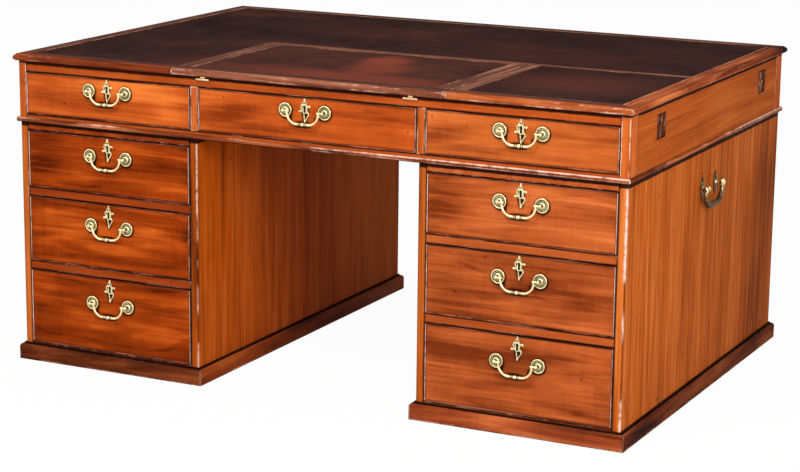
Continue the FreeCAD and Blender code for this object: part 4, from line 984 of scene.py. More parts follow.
@dataclass
class Surfaces:
    """Grids of points gathered into one mesh, with a hollow number at each point.

    Attributes:
        points: The points of each part.
        faces: Their faces.
        hollows: How hollow each point is.
        dressings: The number of each face's material.
        count: How many points there are so far.
    """

    points: list[np.ndarray] = field(default_factory=list)
    faces: list[np.ndarray] = field(default_factory=list)
    hollows: list[np.ndarray] = field(default_factory=list)
    dressings: list[np.ndarray] = field(default_factory=list)
    count: int = 0

    def add_grid(self, grid: np.ndarray, hollow: np.ndarray | float = 0.0, dressing: int = 0) -> None:
        """Adds a tube-like grid, closed the second way round.

        Args:
            grid: Points as rows, columns, xyz, in metres.
            hollow: 0 on high places to 1 in hollows, for each point.
            dressing: The number of its material.
        """
        rows, columns = grid.shape[:2]
        index = np.arange(rows * columns).reshape(rows, columns) + self.count
        index = np.concatenate([index, index[:, :1]], axis=1)
        quads = np.stack(
            [index[:-1, :-1], index[1:, :-1], index[1:, 1:], index[:-1, 1:]], axis=-1
        ).reshape(-1, 4)
        self.add_faces(grid.reshape(-1, 3), quads, hollow, dressing)

    def add_faces(
        self, points: np.ndarray, faces: np.ndarray, hollow: np.ndarray | float = 0.0, dressing: int = 0
    ) -> None:
        """Adds points and faces.

        Args:
            points: The points, in metres.
            faces: Their faces, whose numbers already count from the mesh's first point.
            hollow: 0 on high places to 1 in hollows.
            dressing: The number of their material.
        """
        self.points.append(points)
        self.faces.append(faces)
        self.hollows.append(np.broadcast_to(np.asarray(hollow, float), (len(points),)).astype(np.float32))
        self.dressings.append(np.full(len(faces), dressing, np.int32))
        self.count += len(points)

    def mesh(self, name: str, crease: float = 50.0) -> bpy.types.Mesh:
        """Welds the grids and turns their faces outwards.

        Args:
            name: The mesh's name.
            crease: Edges sharper than this angle stay sharp, in degrees.

        Returns:
            The mesh.
        """
        mesh = bpy.data.meshes.new(name)
        faces = [tuple(face) for block in self.faces for face in block.tolist()]
        mesh.from_pydata(np.concatenate(self.points), [], faces)
        mesh.attributes.new("hollow", "FLOAT", "POINT").data.foreach_set(
            "value", np.concatenate(self.hollows)
        )
        mesh.polygons.foreach_set("material_index", np.concatenate(self.dressings))
        shape = bmesh.new()
        shape.from_mesh(mesh)
        bmesh.ops.remove_doubles(shape, verts=shape.verts, dist=2e-6)
        bmesh.ops.dissolve_degenerate(shape, edges=shape.edges, dist=1e-7)
        bmesh.ops.recalc_face_normals(shape, faces=shape.faces)
        shape.to_mesh(mesh)
        shape.free()
        mesh.shade_smooth()
        mesh.set_sharp_from_angle(angle=math.radians(crease))
        return mesh


def spun(profile: np.ndarray, sides: int, ripple: np.ndarray | None = None, ribs: int = 0) -> np.ndarray:
    """Turns a profile about the axis that the piece stands on.

    The point at a turn angle is (radius * cos, radius * sin, height), and the height rises by the
    profile's ripple times the cosine of ribs times the angle.

    Args:
        profile: Rows of radius and height in millimetres.
        sides: Points round the axis.
        ripple: How much each row's height ripples in millimetres.
        ribs: Ripples in one turn.

    Returns:
        A grid of rows, columns, xyz in metres, with z as the height.
    """
    angle = np.linspace(0, 2 * math.pi, sides, endpoint=False)
    radius, height = profile[:, :1], profile[:, 1:2]
    wave = np.zeros_like(radius) if ripple is None else ripple[:, None]
    rise = height + wave * np.cos(ribs * angle)[None, :]
    return np.stack([radius * np.cos(angle), radius * np.sin(angle), rise], axis=-1) * MM


def rounded_line(corners: list[tuple[float, float]], radii: list[float], steps: int) -> np.ndarray:
    """The points of a flat line whose inner corners are eased by arcs.

    Each arc touches both of its straight runs, with its centre on the line that halves the corner.

    Args:
        corners: Points of the line.
        radii: One radius for each inner corner.
        steps: Pieces in each arc.

    Returns:
        Points as rows.
    """
    pts = np.array(corners, float)
    line = [pts[:1]]
    for before, corner, after, radius in zip(pts, pts[1:], pts[2:], radii):
        into = (corner - before) / np.linalg.norm(corner - before)
        away = (after - corner) / np.linalg.norm(after - corner)
        turn = math.acos(float(np.clip(into @ away, -1, 1)))
        inward = (away - into) / np.linalg.norm(away - into)
        centre = corner + inward * radius / math.cos(turn / 2)
        spoke = corner - into * radius * math.tan(turn / 2) - centre
        angle = np.linspace(0, turn, steps + 1)[:, None]
        line.append(centre + spoke * np.cos(angle) + into * radius * np.sin(angle))
    line.append(pts[-1:])
    return np.concatenate(line)


def evenly(line: np.ndarray, count: int) -> tuple[np.ndarray, np.ndarray]:
    """Spreads points evenly along a line.

    Args:
        line: Points as rows.
        count: How many points are wanted.

    Returns:
        The new points, and how far along the line each one is, in the line's own unit.
    """
    run = np.concatenate([[0], np.cumsum(np.linalg.norm(np.diff(line, axis=0), axis=1))])
    along = np.linspace(0, run[-1], count)
    return np.stack([np.interp(along, run, line[:, k]) for k in range(line.shape[1])], axis=-1), along


def tube(path: np.ndarray, radii: np.ndarray, across: np.ndarray, sides: int) -> np.ndarray:
    """Carries a circle along a flat path, with a closed point at each end.

    A ring's point is path + radius * (cos * across + sin * side), and side is at right angles to
    both the path and across.

    Args:
        path: Points as rows, in metres.
        radii: One radius for each point, in metres.
        across: The direction at right angles to the path's plane.
        sides: Points in a ring.

    Returns:
        A grid of rings.
    """
    heading = np.gradient(path, axis=0)
    heading /= np.linalg.norm(heading, axis=1)[:, None]
    side = np.cross(heading, across)
    angle = np.linspace(0, 2 * math.pi, sides, endpoint=False)
    round_ = np.cos(angle)[None, :, None] * across + np.sin(angle)[None, :, None] * side[:, None, :]
    grid = path[:, None, :] + radii[:, None, None] * round_
    first, last = np.broadcast_to(path[0], grid[:1].shape), np.broadcast_to(path[-1], grid[:1].shape)
    return np.concatenate([first, grid, last])


def oval(
    angle: np.ndarray, wide: float | np.ndarray, tall: float | np.ndarray, middle: tuple[float, float]
) -> np.ndarray:
    """Points of an oval of those half sizes, at those angles in radians, round its middle."""
    return np.stack([middle[0] + wide * np.cos(angle), middle[1] + tall * np.sin(angle)], axis=-1)


def lifted(line: np.ndarray, height: float) -> np.ndarray:
    """Adds a height to flat points."""
    return np.pad(line, ((0, 0), (0, 1)), constant_values=height)


def bells(place: np.ndarray, *rows: tuple[float, float, float]) -> np.ndarray:
    """Adds up bell curves at the places, each row a height, a middle and a width."""
    return sum(height * np.exp(-(((place - middle) / width) ** 2)) for height, middle, width in rows)


def smooth_loop(corners: np.ndarray, steps: int) -> np.ndarray:
    """A closed curve through its corners, by the Catmull-Rom cubic of each four neighbours.

    Args:
        corners: Points as rows.
        steps: Pieces between two corners.

    Returns:
        Points as rows.
    """
    t = np.linspace(0, 1, steps, endpoint=False)[None, :, None]
    p0, p1, p2, p3 = (np.roll(corners, shift, axis=0)[:, None, :] for shift in (1, 0, -1, -2))
    curve = 0.5 * (
        2 * p1 + (p2 - p0) * t + (2 * p0 - 5 * p1 + 4 * p2 - p3) * t**2 + (3 * p1 - p0 - 3 * p2 + p3) * t**3
    )
    return curve.reshape(-1, corners.shape[1])


def pierced_plate(loops: list[np.ndarray], thickness: float, easing: float) -> tuple[np.ndarray, np.ndarray]:
    """A flat plate with holes and eased edges.

    Args:
        loops: Its outline and its holes, as points in millimetres.
        thickness: Millimetres.
        easing: How much the edges are rounded, in millimetres.

    Returns:
        Its points (x, y, height) in metres, and its triangles.
    """
    curve = bpy.data.curves.new("plate_outline", "CURVE")
    curve.dimensions = "2D"
    curve.fill_mode = "BOTH"
    curve.extrude = (thickness / 2 - easing) * MM
    curve.bevel_depth = easing * MM
    curve.bevel_resolution = 1
    curve.offset = -easing * MM
    for loop in loops:
        spline = curve.splines.new("POLY")
        spline.points.add(len(loop) - 1)
        spline.points.foreach_set("co", (np.pad(loop * MM, ((0, 0), (0, 2))) + (0, 0, 0, 1)).ravel())
        spline.use_cyclic_u = True
    blank = bpy.data.objects.new("plate_outline", curve)
    mesh = bpy.data.meshes.new_from_object(blank)
    mesh.calc_loop_triangles()
    points = np.empty(len(mesh.vertices) * 3)
    mesh.vertices.foreach_get("co", points)
    corners = np.empty(len(mesh.loop_triangles) * 3, np.int32)
    mesh.loop_triangles.foreach_get("vertices", corners)
    bpy.data.objects.remove(blank)
    bpy.data.curves.remove(curve)
    bpy.data.meshes.remove(mesh)
    points = points.reshape(-1, 3)
    points[:, 2] += thickness / 2 * MM
    return points, corners.reshape(-1, 3)


# ------------------------------------------------------------------ timber


@dataclass
class Board:
    """One board of a node.

    Attributes:
        points: Its corners.
        triangles: Its faces.
    """

    points: np.ndarray
    triangles: np.ndarray

    @property
    def low(self) -> np.ndarray:
        """Its lowest corner."""
        return self.points.min(0)

    @property
    def high(self) -> np.ndarray:
        """Its highest corner."""
        return self.points.max(0)

    def long_way(self) -> Grain:
        """The grain that runs along its longest side."""
        return (Grain.ALONG_X, Grain.ALONG_Y, Grain.ALONG_Z)[int(np.argmax(self.high - self.low))]

    def eased(self, easing: float) -> tuple[np.ndarray, list[tuple[int, ...]]]:
        """Rounds its arrises.

        Args:
            easing: Width of the rounding in metres.

        Returns:
            Its points and its faces.
        """
        mesh = bpy.data.meshes.new("board")
        mesh.from_pydata(self.points, [], self.triangles.tolist())
        shape = bmesh.new()
        shape.from_mesh(mesh)
        bpy.data.meshes.remove(mesh)
        bmesh.ops.dissolve_limit(shape, angle_limit=0.01, verts=shape.verts, edges=shape.edges)
        arrises = [e for e in shape.edges if e.is_manifold and e.calc_face_angle() > math.radians(38)]
        bmesh.ops.bevel(
            shape, geom=arrises, offset=easing, offset_type="OFFSET", segments=2, profile=0.5, affect="EDGES",
            clamp_overlap=True,
        )
        shape.verts.index_update()
        points = np.array([v.co for v in shape.verts])
        faces = [tuple(v.index for v in f.verts) for f in shape.faces]
        shape.free()
        return points, faces


def boards_of(node: str) -> list[Board]:
    """Parts a node's mesh into its closed boards.

    A board ends at the triangle after which every edge has been walked once each way. The number
    of open edges is a running sum of how each triangle's edges change their own balance.

    Args:
        node: The node's name.

    Returns:
        The boards in the node's own order.
    """
    mesh = bpy.data.objects[node].data
    flat = np.empty(len(mesh.vertices) * 3, np.float32)
    mesh.vertices.foreach_get("co", flat)
    corners = np.empty(len(mesh.loops), np.int32)
    mesh.loops.foreach_get("vertex_index", corners)
    points, same = np.unique(np.round(flat.reshape(-1, 3).astype(float), 6), axis=0, return_inverse=True)
    triangles = same.reshape(-1)[corners].reshape(-1, 3)
    tail, head = triangles.ravel(), np.roll(triangles, -1, axis=1).ravel()
    key = np.minimum(tail, head).astype(np.int64) * len(points) + np.maximum(tail, head)
    order = np.argsort(key, kind="stable")
    step = np.where(tail < head, 1, -1)[order]
    total = np.cumsum(step)
    first = np.concatenate([[True], np.diff(key[order]) != 0])
    start = np.maximum.accumulate(np.where(first, np.arange(len(step)), 0))
    after = total - total[start] + step[start]
    change = np.zeros(len(step), int)
    change[order] = np.abs(after) - np.abs(after - step)
    open_edges = np.cumsum(change.reshape(-1, 3).sum(1))
    ends = np.flatnonzero(open_edges == 0)[:-1] + 1
    boards = []
    for block in np.split(triangles, ends):
        used, local = np.unique(block, return_inverse=True)
        boards.append(Board(points[used], local.reshape(-1, 3)))
    return boards


@dataclass
class Joinery:
    """A wooden node as boards that each have their own grain and finish.

    Attributes:
        node: The frame's node.
        finish: The finish of its boards.
        others: Other finishes, by board number.
        grains: Grain, by board number, where it isn't the long way.
        easing: Width of the rounded arrises in metres.
        skip: Boards that another piece shows.
    """

    node: str
    finish: Timber | Metal
    others: dict[int, Timber | Metal] = field(default_factory=dict)
    grains: dict[int, Grain] = field(default_factory=dict)
    easing: float = 0.0007
    skip: tuple[int, ...] = ()

    def build(self, body: str) -> bpy.types.Object:
        """Builds the piece and puts it in its node's place.

        Args:
            body: The body it moves with.

        Returns:
            The piece.
        """
        finishes = list(dict.fromkeys([self.finish, *self.others.values()]))
        points, faces, dressings, places, halves, cuts = [], [], [], [], [], []
        count = 0
        seed = sum((i + 1) * ord(c) for i, c in enumerate(self.node))
        boards = boards_of(self.node)
        for number, board in enumerate(boards):
            if number in self.skip:
                continue
            order = list(self.grains.get(number, board.long_way()).value)
            own, own_faces = board.eased(self.easing)
            half = (board.high - board.low) / 2
            points.append(own)
            faces += [tuple(i + count for i in face) for face in own_faces]
            dressings += [finishes.index(self.others.get(number, self.finish))] * len(own_faces)
            places.append((own - board.low - half)[:, order])
            halves.append(np.broadcast_to(half[order], own.shape))
            cuts.append(np.full(len(own), ((seed + 17 * number) % 97) / 10))
            count += len(own)
        mesh = bpy.data.meshes.new(self.node + "_boards")
        mesh.from_pydata(np.concatenate(points), [], faces)
        mesh.polygons.foreach_set("material_index", np.array(dressings, np.int32))
        low = np.min([board.low for board in boards], axis=0)
        node_half = (np.max([board.high for board in boards], axis=0) - low) / 2
        node_places = [own - low - node_half for own in points]
        node_halves = [np.broadcast_to(node_half, own.shape) for own in points]
        rows_by_name = {
            "board_place": places, "board_half": halves, "node_place": node_places, "node_half": node_halves,
        }
        for name, rows in rows_by_name.items():
            values = np.concatenate(rows).astype(np.float32).ravel()
            mesh.attributes.new(name, "FLOAT_VECTOR", "POINT").data.foreach_set("vector", values)
        cut = mesh.attributes.new("board_cut", "FLOAT", "POINT")
        cut.data.foreach_set("value", np.concatenate(cuts).astype(np.float32))
        mesh.shade_smooth()
        mesh.set_sharp_from_angle(angle=math.radians(21))
        piece = linked(self.node + "_boards", mesh, [coat(finish) for finish in finishes])
        return place_piece(piece, body, (self.node,))


# ------------------------------------------------------------------ brass furniture


# Profiles to turn, as rows of radius and height in millimetres. Rows of the rosette have two more
# numbers, how hollow it is and how far its flutes go down. Rows of the ball have how hollow it is.
ROSETTE = np.array(
    [
        (0.0, 0.0, 0.5, 0.0), (16.2, 0.0, 0.8, 0.0), (16.8, 0.5, 0.4, 0.0), (17.0, 1.2, 0.0, 0.0),
        (16.6, 2.0, 0.0, 0.0), (15.6, 2.5, 0.0, 0.0), (14.6, 2.4, 0.0, 0.0), (13.9, 1.9, 0.4, 0.0),
        (13.5, 1.1, 1.0, 0.0), (12.9, 1.0, 0.9, 0.1), (11.8, 1.4, 0.4, 0.45), (10.4, 1.9, 0.2, 0.6),
        (9.2, 1.9, 0.3, 0.5), (8.5, 1.4, 0.9, 0.1), (8.0, 1.3, 1.0, 0.0), (7.7, 2.0, 0.4, 0.0),
        (7.1, 2.9, 0.0, 0.0), (6.2, 3.7, 0.0, 0.0), (5.0, 4.2, 0.3, 0.0), (3.8, 4.5, 1.4, 0.0),
        (3.1, 4.9, 1.8, 0.0), (2.8, 5.6, 1.4, 0.0), (2.7, 6.8, 1.0, 0.0), (3.0, 7.8, 0.8, 0.0),
        (2.8, 8.6, 1.0, 0.0), (0.0, 8.9, 1.0, 0.0),
    ]
)
EYE = np.array(
    [
        (2.52, -3.3), (3.5, -3.3), (4.3, -2.4), (4.6, 0.0), (4.3, 2.4), (3.5, 3.3), (2.52, 3.3), (2.48, 0.0),
        (2.52, -3.3)
    ]
)
STUD = np.array([(0.0, -1.7), (1.2, -1.2), (1.7, 0.0), (1.2, 1.2), (0.0, 1.7)])
CURL_BALL = np.array([(0.0, -2.9), (1.5, -2.5), (2.6, -1.4), (2.9, 0.0), (2.6, 1.4), (1.5, 2.5), (0.0, 2.9)])
KNUCKLE = np.array(
    [
        (3.1, -3.5), (5.6, -3.5), (7.0, -2.6), (7.5, 0.0), (7.0, 2.6), (5.6, 3.5), (3.1, 3.5), (3.08, 0.0),
        (3.1, -3.5)
    ]
)
STEM = np.array([(0.0, 1.0), (7.2, 2.4), (5.6, 4.4), (4.6, 7.0), (4.8, 9.5), (0.0, 10.0)])
HALF_BALL = np.array(
    [
        (9.2, 0.0, 1.2), (8.7, 3.4, 0.5), (7.4, 6.2, -0.4), (5.9, 7.9, -0.4), (5.0, 8.2, 1.6),
        (4.6, 7.8, 2.2), (4.0, 7.8, 2.2), (3.8, 8.9, 1.7), (3.0, 9.7, 1.3), (0.0, 10.0, 0.4),
    ]
)

# Where a drawer's bail swells and where it is hollow, as rows of height, way from its middle and width.
BAIL_SWELLS = ((0.75, 18, 7), (0.3, 44, 9), (1.3, 7.4, 1.1), (0.8, 11.6, 0.9))
BAIL_HOLLOWS = ((1.6, 5.4, 1.0), (1.4, 9.6, 1.0))

# The keyhole plate, as points across and up from its keyhole in millimetres.
PLATE_THICKNESS = 1.5
PLATE_OUTLINE = [
    (0.0, 27.0), (1.4, 24.5), (2.3, 21.5), (1.6, 19.4), (3.4, 17.0), (5.6, 13.5), (6.0, 10.5), (5.2, 8.6),
    (7.8, 7.6), (11.0, 7.8), (14.0, 6.8), (15.6, 4.6), (14.2, 2.4), (11.0, 3.2), (8.2, 2.4), (7.4, -0.5),
    (7.4, -5.0), (9.6, -7.4), (11.2, -11.0), (10.8, -15.2), (8.6, -19.8), (5.8, -23.8), (3.8, -27.2),
    (2.6, -30.0), (0.4, -34.0), (-1.6, -30.0), (-1.3, -26.0), (-2.2, -22.0), (-3.0, -17.0), (-3.0, -12.4),
    (-4.8, -9.6), (-7.6, -8.0), (-10.5, -8.6), (-13.6, -8.2), (-15.2, -5.8), (-13.4, -3.6), (-10.4, -4.0),
    (-9.0, -1.5), (-9.8, 2.5), (-10.6, 6.0), (-9.2, 9.6), (-6.4, 10.4), (-5.8, 12.5), (-5.2, 15.0),
    (-3.2, 17.4), (-1.6, 19.4), (-2.3, 21.5), (-1.4, 24.5),
]
PLATE_HOLES = (
    [(-5.6, 6.6), (-7.8, 6.2), (-7.6, 1.0), (-5.8, -4.6), (-5.2, -3.0), (-5.2, 3.0)],
    [(1.0, 10.8), (4.2, 11.2), (3.8, 14.2), (1.2, 15.6)],
    [(-1.0, 10.8), (-4.4, 11.4), (-3.8, 14.2), (-1.2, 15.6)],
    [
        (-0.8, -12.0), (3.8, -10.9), (8.0, -11.4), (8.2, -15.2), (6.0, -19.2), (3.2, -23.2), (1.0, -24.8),
        (0.4, -19.5), (-0.4, -15.5),
    ],
)
PLATE_SLOT = [(-2.9, -9.2), (2.9, -9.2)]
# Its scrolls: place across and up, outer and inner radius, first angle and turn in degrees.
PLATE_SCROLLS = (
    (13.6, 4.8, 2.4, 0.8, 180, -420), (-13.2, -6.0, 2.4, 0.8, 0, -420), (3.0, 13.0, 2.8, 2.2, 200, 200),
    (-3.0, 13.0, 2.8, 2.2, -20, -200), (-7.6, 3.0, 2.6, 2.4, 90, 180), (9.0, -14.0, 2.4, 2.2, -70, 140),
)


def cast(node: str, parts: Surfaces, *finishes: Metal) -> bpy.types.Object:
    """Makes a node's cast piece from its surfaces and their finishes."""
    return linked(node + "_cast", parts.mesh(node + "_cast"), [coat(finish) for finish in finishes])


@dataclass
class DrawerHandle:
    """A drawer's two rosettes, its swan-neck bail and its pierced keyhole plate.

    Attributes:
        drawer: The drawer's body and node.
        side: The side of the desk that it faces.
        spacing: Distance between the two eyes in millimetres.
        drop: Distance of the grip below the eyes.
        grip_half: Half of the bail's width at the grip's level.
        heel: Radius of its lower corners.
        past_eye: How far the bail reaches past the middle of an eye.
        neck: How far inside the eye the bail turns down.
        rod: Radius of the bail's rod.
        knop: How far the turned knop stands out of the rod.
        knop_half: Half of the knop's length.
        sides: Points round a rosette.
        flutes: Flutes in a rosette.
    """

    drawer: str
    side: Side
    spacing: float = 103.0
    drop: float = 29.5
    grip_half: float = 39.0
    heel: float = 26.0
    past_eye: float = 3.2
    neck: float = 12.0
    rod: float = 2.3
    knop: float = 1.9
    knop_half: float = 4.6
    sides: int = 64
    flutes: int = 16

    def turned_out(self, points: np.ndarray, origin: np.ndarray) -> np.ndarray:
        """Stands points (across, up, height) on the drawer's face.

        Args:
            points: Points whose last number is the height above the face, in metres.
            origin: The place on the face that they are measured from.

        Returns:
            Points in the desk's own frame.
        """
        out = self.side.value
        placed = np.stack([-out * points[..., 0], out * points[..., 2], points[..., 1]], axis=-1)
        return placed + origin

    def rosette(self) -> tuple[np.ndarray, np.ndarray]:
        """A backplate with a beaded rim, a fluted hollow, a boss and a stud.

        Returns:
            Its grid with the height last, and how hollow each point is.
        """
        grid = spun(ROSETTE[:, :2], self.sides, ROSETTE[:, 3], self.flutes)
        angle = np.linspace(0, 2 * math.pi, self.sides, endpoint=False)
        flutes = (ROSETTE[:, 3:] > 0.2) * 0.8 * (0.5 - 0.5 * np.cos(self.flutes * angle))[None, :]
        return grid, (ROSETTE[:, 2:3] + flutes)

    def plate_shape(self) -> tuple[np.ndarray, np.ndarray]:
        """The pierced keyhole plate, measured from its keyhole.

        Returns:
            Its points and its triangles.
        """
        loops = [smooth_loop(np.array(loop), 3) for loop in (PLATE_OUTLINE, *PLATE_HOLES)]
        bow = oval(np.radians(np.linspace(-48, 228, 15)), 3.9, 3.9, (0.0, 4.0))
        return pierced_plate([*loops, np.concatenate([bow, PLATE_SLOT])], PLATE_THICKNESS, 0.3)

    def keyhole_dark(self) -> tuple[np.ndarray, np.ndarray]:
        """The painted shade of the keyhole, a thin dark plate behind the pierced one."""
        return pierced_plate(
            [oval(np.linspace(0, 2 * math.pi, 24, endpoint=False), 4.7, 9.9, (0.0, -1.0))], 0.4, 0.1
        )

    def scrolls(self) -> list[np.ndarray]:
        """Raised scrolls on the keyhole plate, a rim round its keyhole and four studs.

        Each scroll winds in: its radius falls evenly with its angle.

        Returns:
            Grids with the height last.
        """
        grids = []
        share = np.linspace(0, 1, 26)
        for x, z, wide, narrow, start, turn in PLATE_SCROLLS:
            radius = wide + (narrow - wide) * share
            line = oval(np.radians(start + turn * share), radius, radius, (x, z))
            grids.append(tube(lifted(line, PLATE_THICKNESS) * MM, (0.8 - 0.3 * share) * MM, Z_AXIS, 6))
        ring = lifted(oval(np.linspace(0, 2 * math.pi, 33), 5.0, 9.9, (0.0, -0.9)), 1.4)
        grids.append(tube(ring * MM, np.full(33, 0.6 * MM), Z_AXIS, 6))
        for x, z in ((0.0, 21.4), (0.6, -30.4), (-0.2, -27.0), (0.0, 17.2)):
            grids.append(spun(STUD, 10) + np.array([x, z, 1.4]) * MM)
        return grids

    def rosettes(self, face_y: float, pin: np.ndarray) -> Surfaces:
        """Builds the rosettes with the eyes that the bail turns in.

        Args:
            face_y: Where the drawer's face is.
            pin: The middle of the line that the bail turns on.

        Returns:
            Their surfaces.
        """
        parts = Surfaces()
        plate, hollow = self.rosette()
        for shift in (-self.spacing / 2, self.spacing / 2):
            foot = np.array([pin[0] + shift * MM, face_y, pin[2]])
            parts.add_grid(self.turned_out(plate, foot), hollow.ravel())
            parts.add_grid(spun(EYE, 24)[..., [2, 0, 1]] + np.array([foot[0], pin[1], pin[2]]), 0.1)
        return parts

    def build(self, node: str, pin: np.ndarray, face_y: float, keyhole_z: float) -> None:
        """Builds the handle's fixed brass and its bail.

        Args:
            node: The node of the fixed brass.
            pin: The middle of the line that the bail turns on.
            face_y: Where the drawer's face is.
            keyhole_z: The keyhole's height.
        """
        keyhole = np.array([pin[0], face_y, keyhole_z])
        parts = self.rosettes(face_y, pin)
        points, faces = self.plate_shape()
        parts.add_faces(self.turned_out(points, keyhole), faces + parts.count, 0.25)
        # A thin dark plate behind the keyhole paints the shade inside it.
        points, faces = self.keyhole_dark()
        parts.add_faces(self.turned_out(points, keyhole), faces + parts.count, 1.0, 1)
        for grid in self.scrolls():
            parts.add_grid(self.turned_out(grid, keyhole), 0.0)
        place_piece(cast(node, parts, BRASS, KEYHOLE_SHADE), self.drawer)
        Joinery(node, HINGE_BRASS, {5: IRON}, skip=(0, 2, 4), easing=0.0004).build(self.drawer)
        self.build_bail(pin)

    def build_bail(self, pin: np.ndarray) -> None:
        """Builds the bail: a rod that swells at its heels, with a knop at its middle.

        Args:
            pin: The middle of the line that it turns on.
        """
        end, neck = self.spacing / 2 + self.past_eye, self.spacing / 2 - self.neck
        line = rounded_line(
            [
                (end, 0), (neck, 0), (neck + 1.5, -self.drop * 0.2), (self.grip_half - 2, -self.drop),
                (0, -self.drop)
            ],
            [2.6, 8.0, self.heel], 12,
        )
        line, along = evenly(np.concatenate([line, line[-2::-1] * (-1, 1)]), 181)
        middle = np.abs(along - along[-1] / 2)
        radii = self.rod + 0.3 * (middle < along[-1] / 2 - 9)
        radii += bells(middle, *BAIL_SWELLS)
        radii += self.knop * np.sqrt(np.clip(1 - (middle / self.knop_half) ** 2, 0, 1)) ** 1.2
        hollow = np.pad(bells(middle, *BAIL_HOLLOWS), 1, mode="edge")
        parts = Surfaces()
        path = np.stack([line[:, 0], np.zeros(len(line)), line[:, 1]], axis=-1) * MM + pin
        parts.add_grid(tube(path, radii * MM, np.array([0.0, 1.0, 0.0]), 14), np.repeat(hollow, 14))
        for mirror in (1, -1):
            curl = spun(CURL_BALL, 14)[..., [0, 2, 1]] + np.array([mirror * (neck - 0.8) * MM, 0, 0.4 * MM])
            parts.add_grid(curl + pin, 0.1)
        node = self.drawer + "_bail"
        place_piece(cast(node, parts, BRASS), node, (node,))


@dataclass
class CarryingHandle:
    """A heavy bail and its two lugs on a pedestal's outer side.

    Attributes:
        body: The bail's body and node; not used.
        out: 1 for the right pedestal and -1 for the left.
        wall_x: Where the pedestal's outer side is, in metres.
        standoff: Distance of the pin line from the wall, in millimetres.
        spacing: Distance between the two balls.
        drop: Distance of the grip below the balls.
        bend: Radius of the bail's corners.
        leaf_wide: Half of a leaf's width.
        leaf_tall: Half of its height.
        leaf_thick: Its thickness.
        lug_inset: Distance from a ball's middle to its lug's.
        rod: Radius of the bail at its balls.
        swell: How much thicker it is at its grip.
    """

    body: str
    out: float
    wall_x: float = 0.7975
    standoff: float = 15.0
    spacing: float = 122.0
    drop: float = 43.5
    bend: float = 36.0
    leaf_wide: float = 14.5
    leaf_tall: float = 28.0
    leaf_thick: float = 3.0
    lug_inset: float = 13.9
    rod: float = 5.0
    swell: float = 1.6

    def turned_out(self, points: np.ndarray) -> np.ndarray:
        """Stands points (along y, up, height) on the pedestal's side."""
        return np.stack([self.out * (self.wall_x + points[..., 2]), points[..., 0], points[..., 1]], axis=-1)

    def build_plates(self, parts: Surfaces, level: float) -> None:
        """Adds the two domed leaf-shaped plates and their lugs.

        Args:
            parts: The mesh they go into.
            level: Height of the pin line.
        """
        share = np.linspace(-1, 1, 25)
        width = self.leaf_wide * (1 - np.abs(share) ** 1.7) * (1 + 0.12 * np.cos(3 * math.pi * share))
        edge = np.stack([width, self.leaf_tall * share], axis=-1)
        points, faces = pierced_plate([np.concatenate([edge, edge[-2:0:-1] * (-1, 1)])], self.leaf_thick, 0.9)
        dome = 1.0 - (points[:, 0] / (self.leaf_wide * MM)) ** 2 - (points[:, 1] / (self.leaf_tall * MM)) ** 2
        points[:, 2] += np.clip(dome, 0, 1) * 1.2 * MM * (points[:, 2] > self.leaf_thick / 2 * MM)
        lug_y = self.spacing / 2 - self.lug_inset
        for y in (-lug_y, lug_y):
            shift = np.array([y * MM, level, 0.0])
            parts.add_faces(self.turned_out(points + shift), faces + parts.count, 0.85)
            knuckle = spun(KNUCKLE, 28)[..., [2, 0, 1]] + shift + Z_AXIS * self.standoff * MM
            parts.add_grid(self.turned_out(knuckle), 0.15)
            parts.add_grid(self.turned_out(spun(STEM, 24) + shift), 0.3)

    def build_bail(self, parts: Surfaces, level: float) -> None:
        """Adds the bail, which swells evenly from its balls to its grip.

        Args:
            parts: The mesh it goes into.
            level: Height of the pin line.
        """
        half = self.spacing / 2
        line = rounded_line(
            [(-half, 0), (-half, -self.drop), (half, -self.drop), (half, 0)], [self.bend] * 2, 16
        )
        line, _ = evenly(line, 91)
        radii = self.rod + self.swell * np.clip(-line[:, 1] / self.drop, 0, 1) ** 1.3
        path = lifted(line, self.standoff) * MM + (0, level, 0)
        grid = tube(path, radii * MM, Z_AXIS, 20)
        # Darker towards the grip.
        darker_to_grip = 0.55 + np.clip(-(grid[..., 1] - level) / (self.drop * MM), 0, 1) * 0.5
        parts.add_grid(self.turned_out(grid), darker_to_grip.ravel())
        ball = np.concatenate([HALF_BALL[:0:-1] * (1, -1, 1), HALF_BALL])
        for mirror in (1, -1):
            turned = spun(ball, 32)[..., [2, 0, 1]] * (mirror, 1, 1)
            centre = np.array([mirror * half * MM, level, self.standoff * MM])
            parts.add_grid(self.turned_out(turned + centre), np.repeat(ball[:, 2], 32))


# ------------------------------------------------------------------ the desk


# The keyhole's distance below the top of its plate, in millimetres.
KEYHOLE_DROP = 23.4


def given(finish: Timber | Metal, *numbers: int) -> dict[int, Timber | Metal]:
    """Gives one finish to several boards, by their numbers in their node."""
    return {number: finish for number in numbers}


def handle_shadows_and_dirt(level: float, lock: float) -> tuple[Stroke, ...]:
    """Painted shadow and soiling round a drawer's rosettes and keyhole plate, and the painted shadow of its
    bail where it hangs.

    Args:
        level: Height of the bail's pin line above the front's middle, in millimetres.
        lock: Height of the keyhole plate's middle above it.

    Returns:
        The strokes.
    """
    # Halos round the rosettes and the keyhole plate, then the painted shadow of the bail below and beside it.
    return strokes(
        (-50.5, level - 2, 25, 25, 0, 12.0), (52.5, level - 2, 25, 25, 0, 12.0),
        (1, lock - 4, 14, 36, 0, 5.0), (-5, level - 37, 46, 6, 0, 3.0), (-5, level - 27, 40, 6, 0, 2.6),
        (-38, level - 19, 8, 16, 0, 3.0), (28, level - 20, 7, 14, 0, 2.2), (41, level - 12, 9, 12, 0, 3.0),
    )


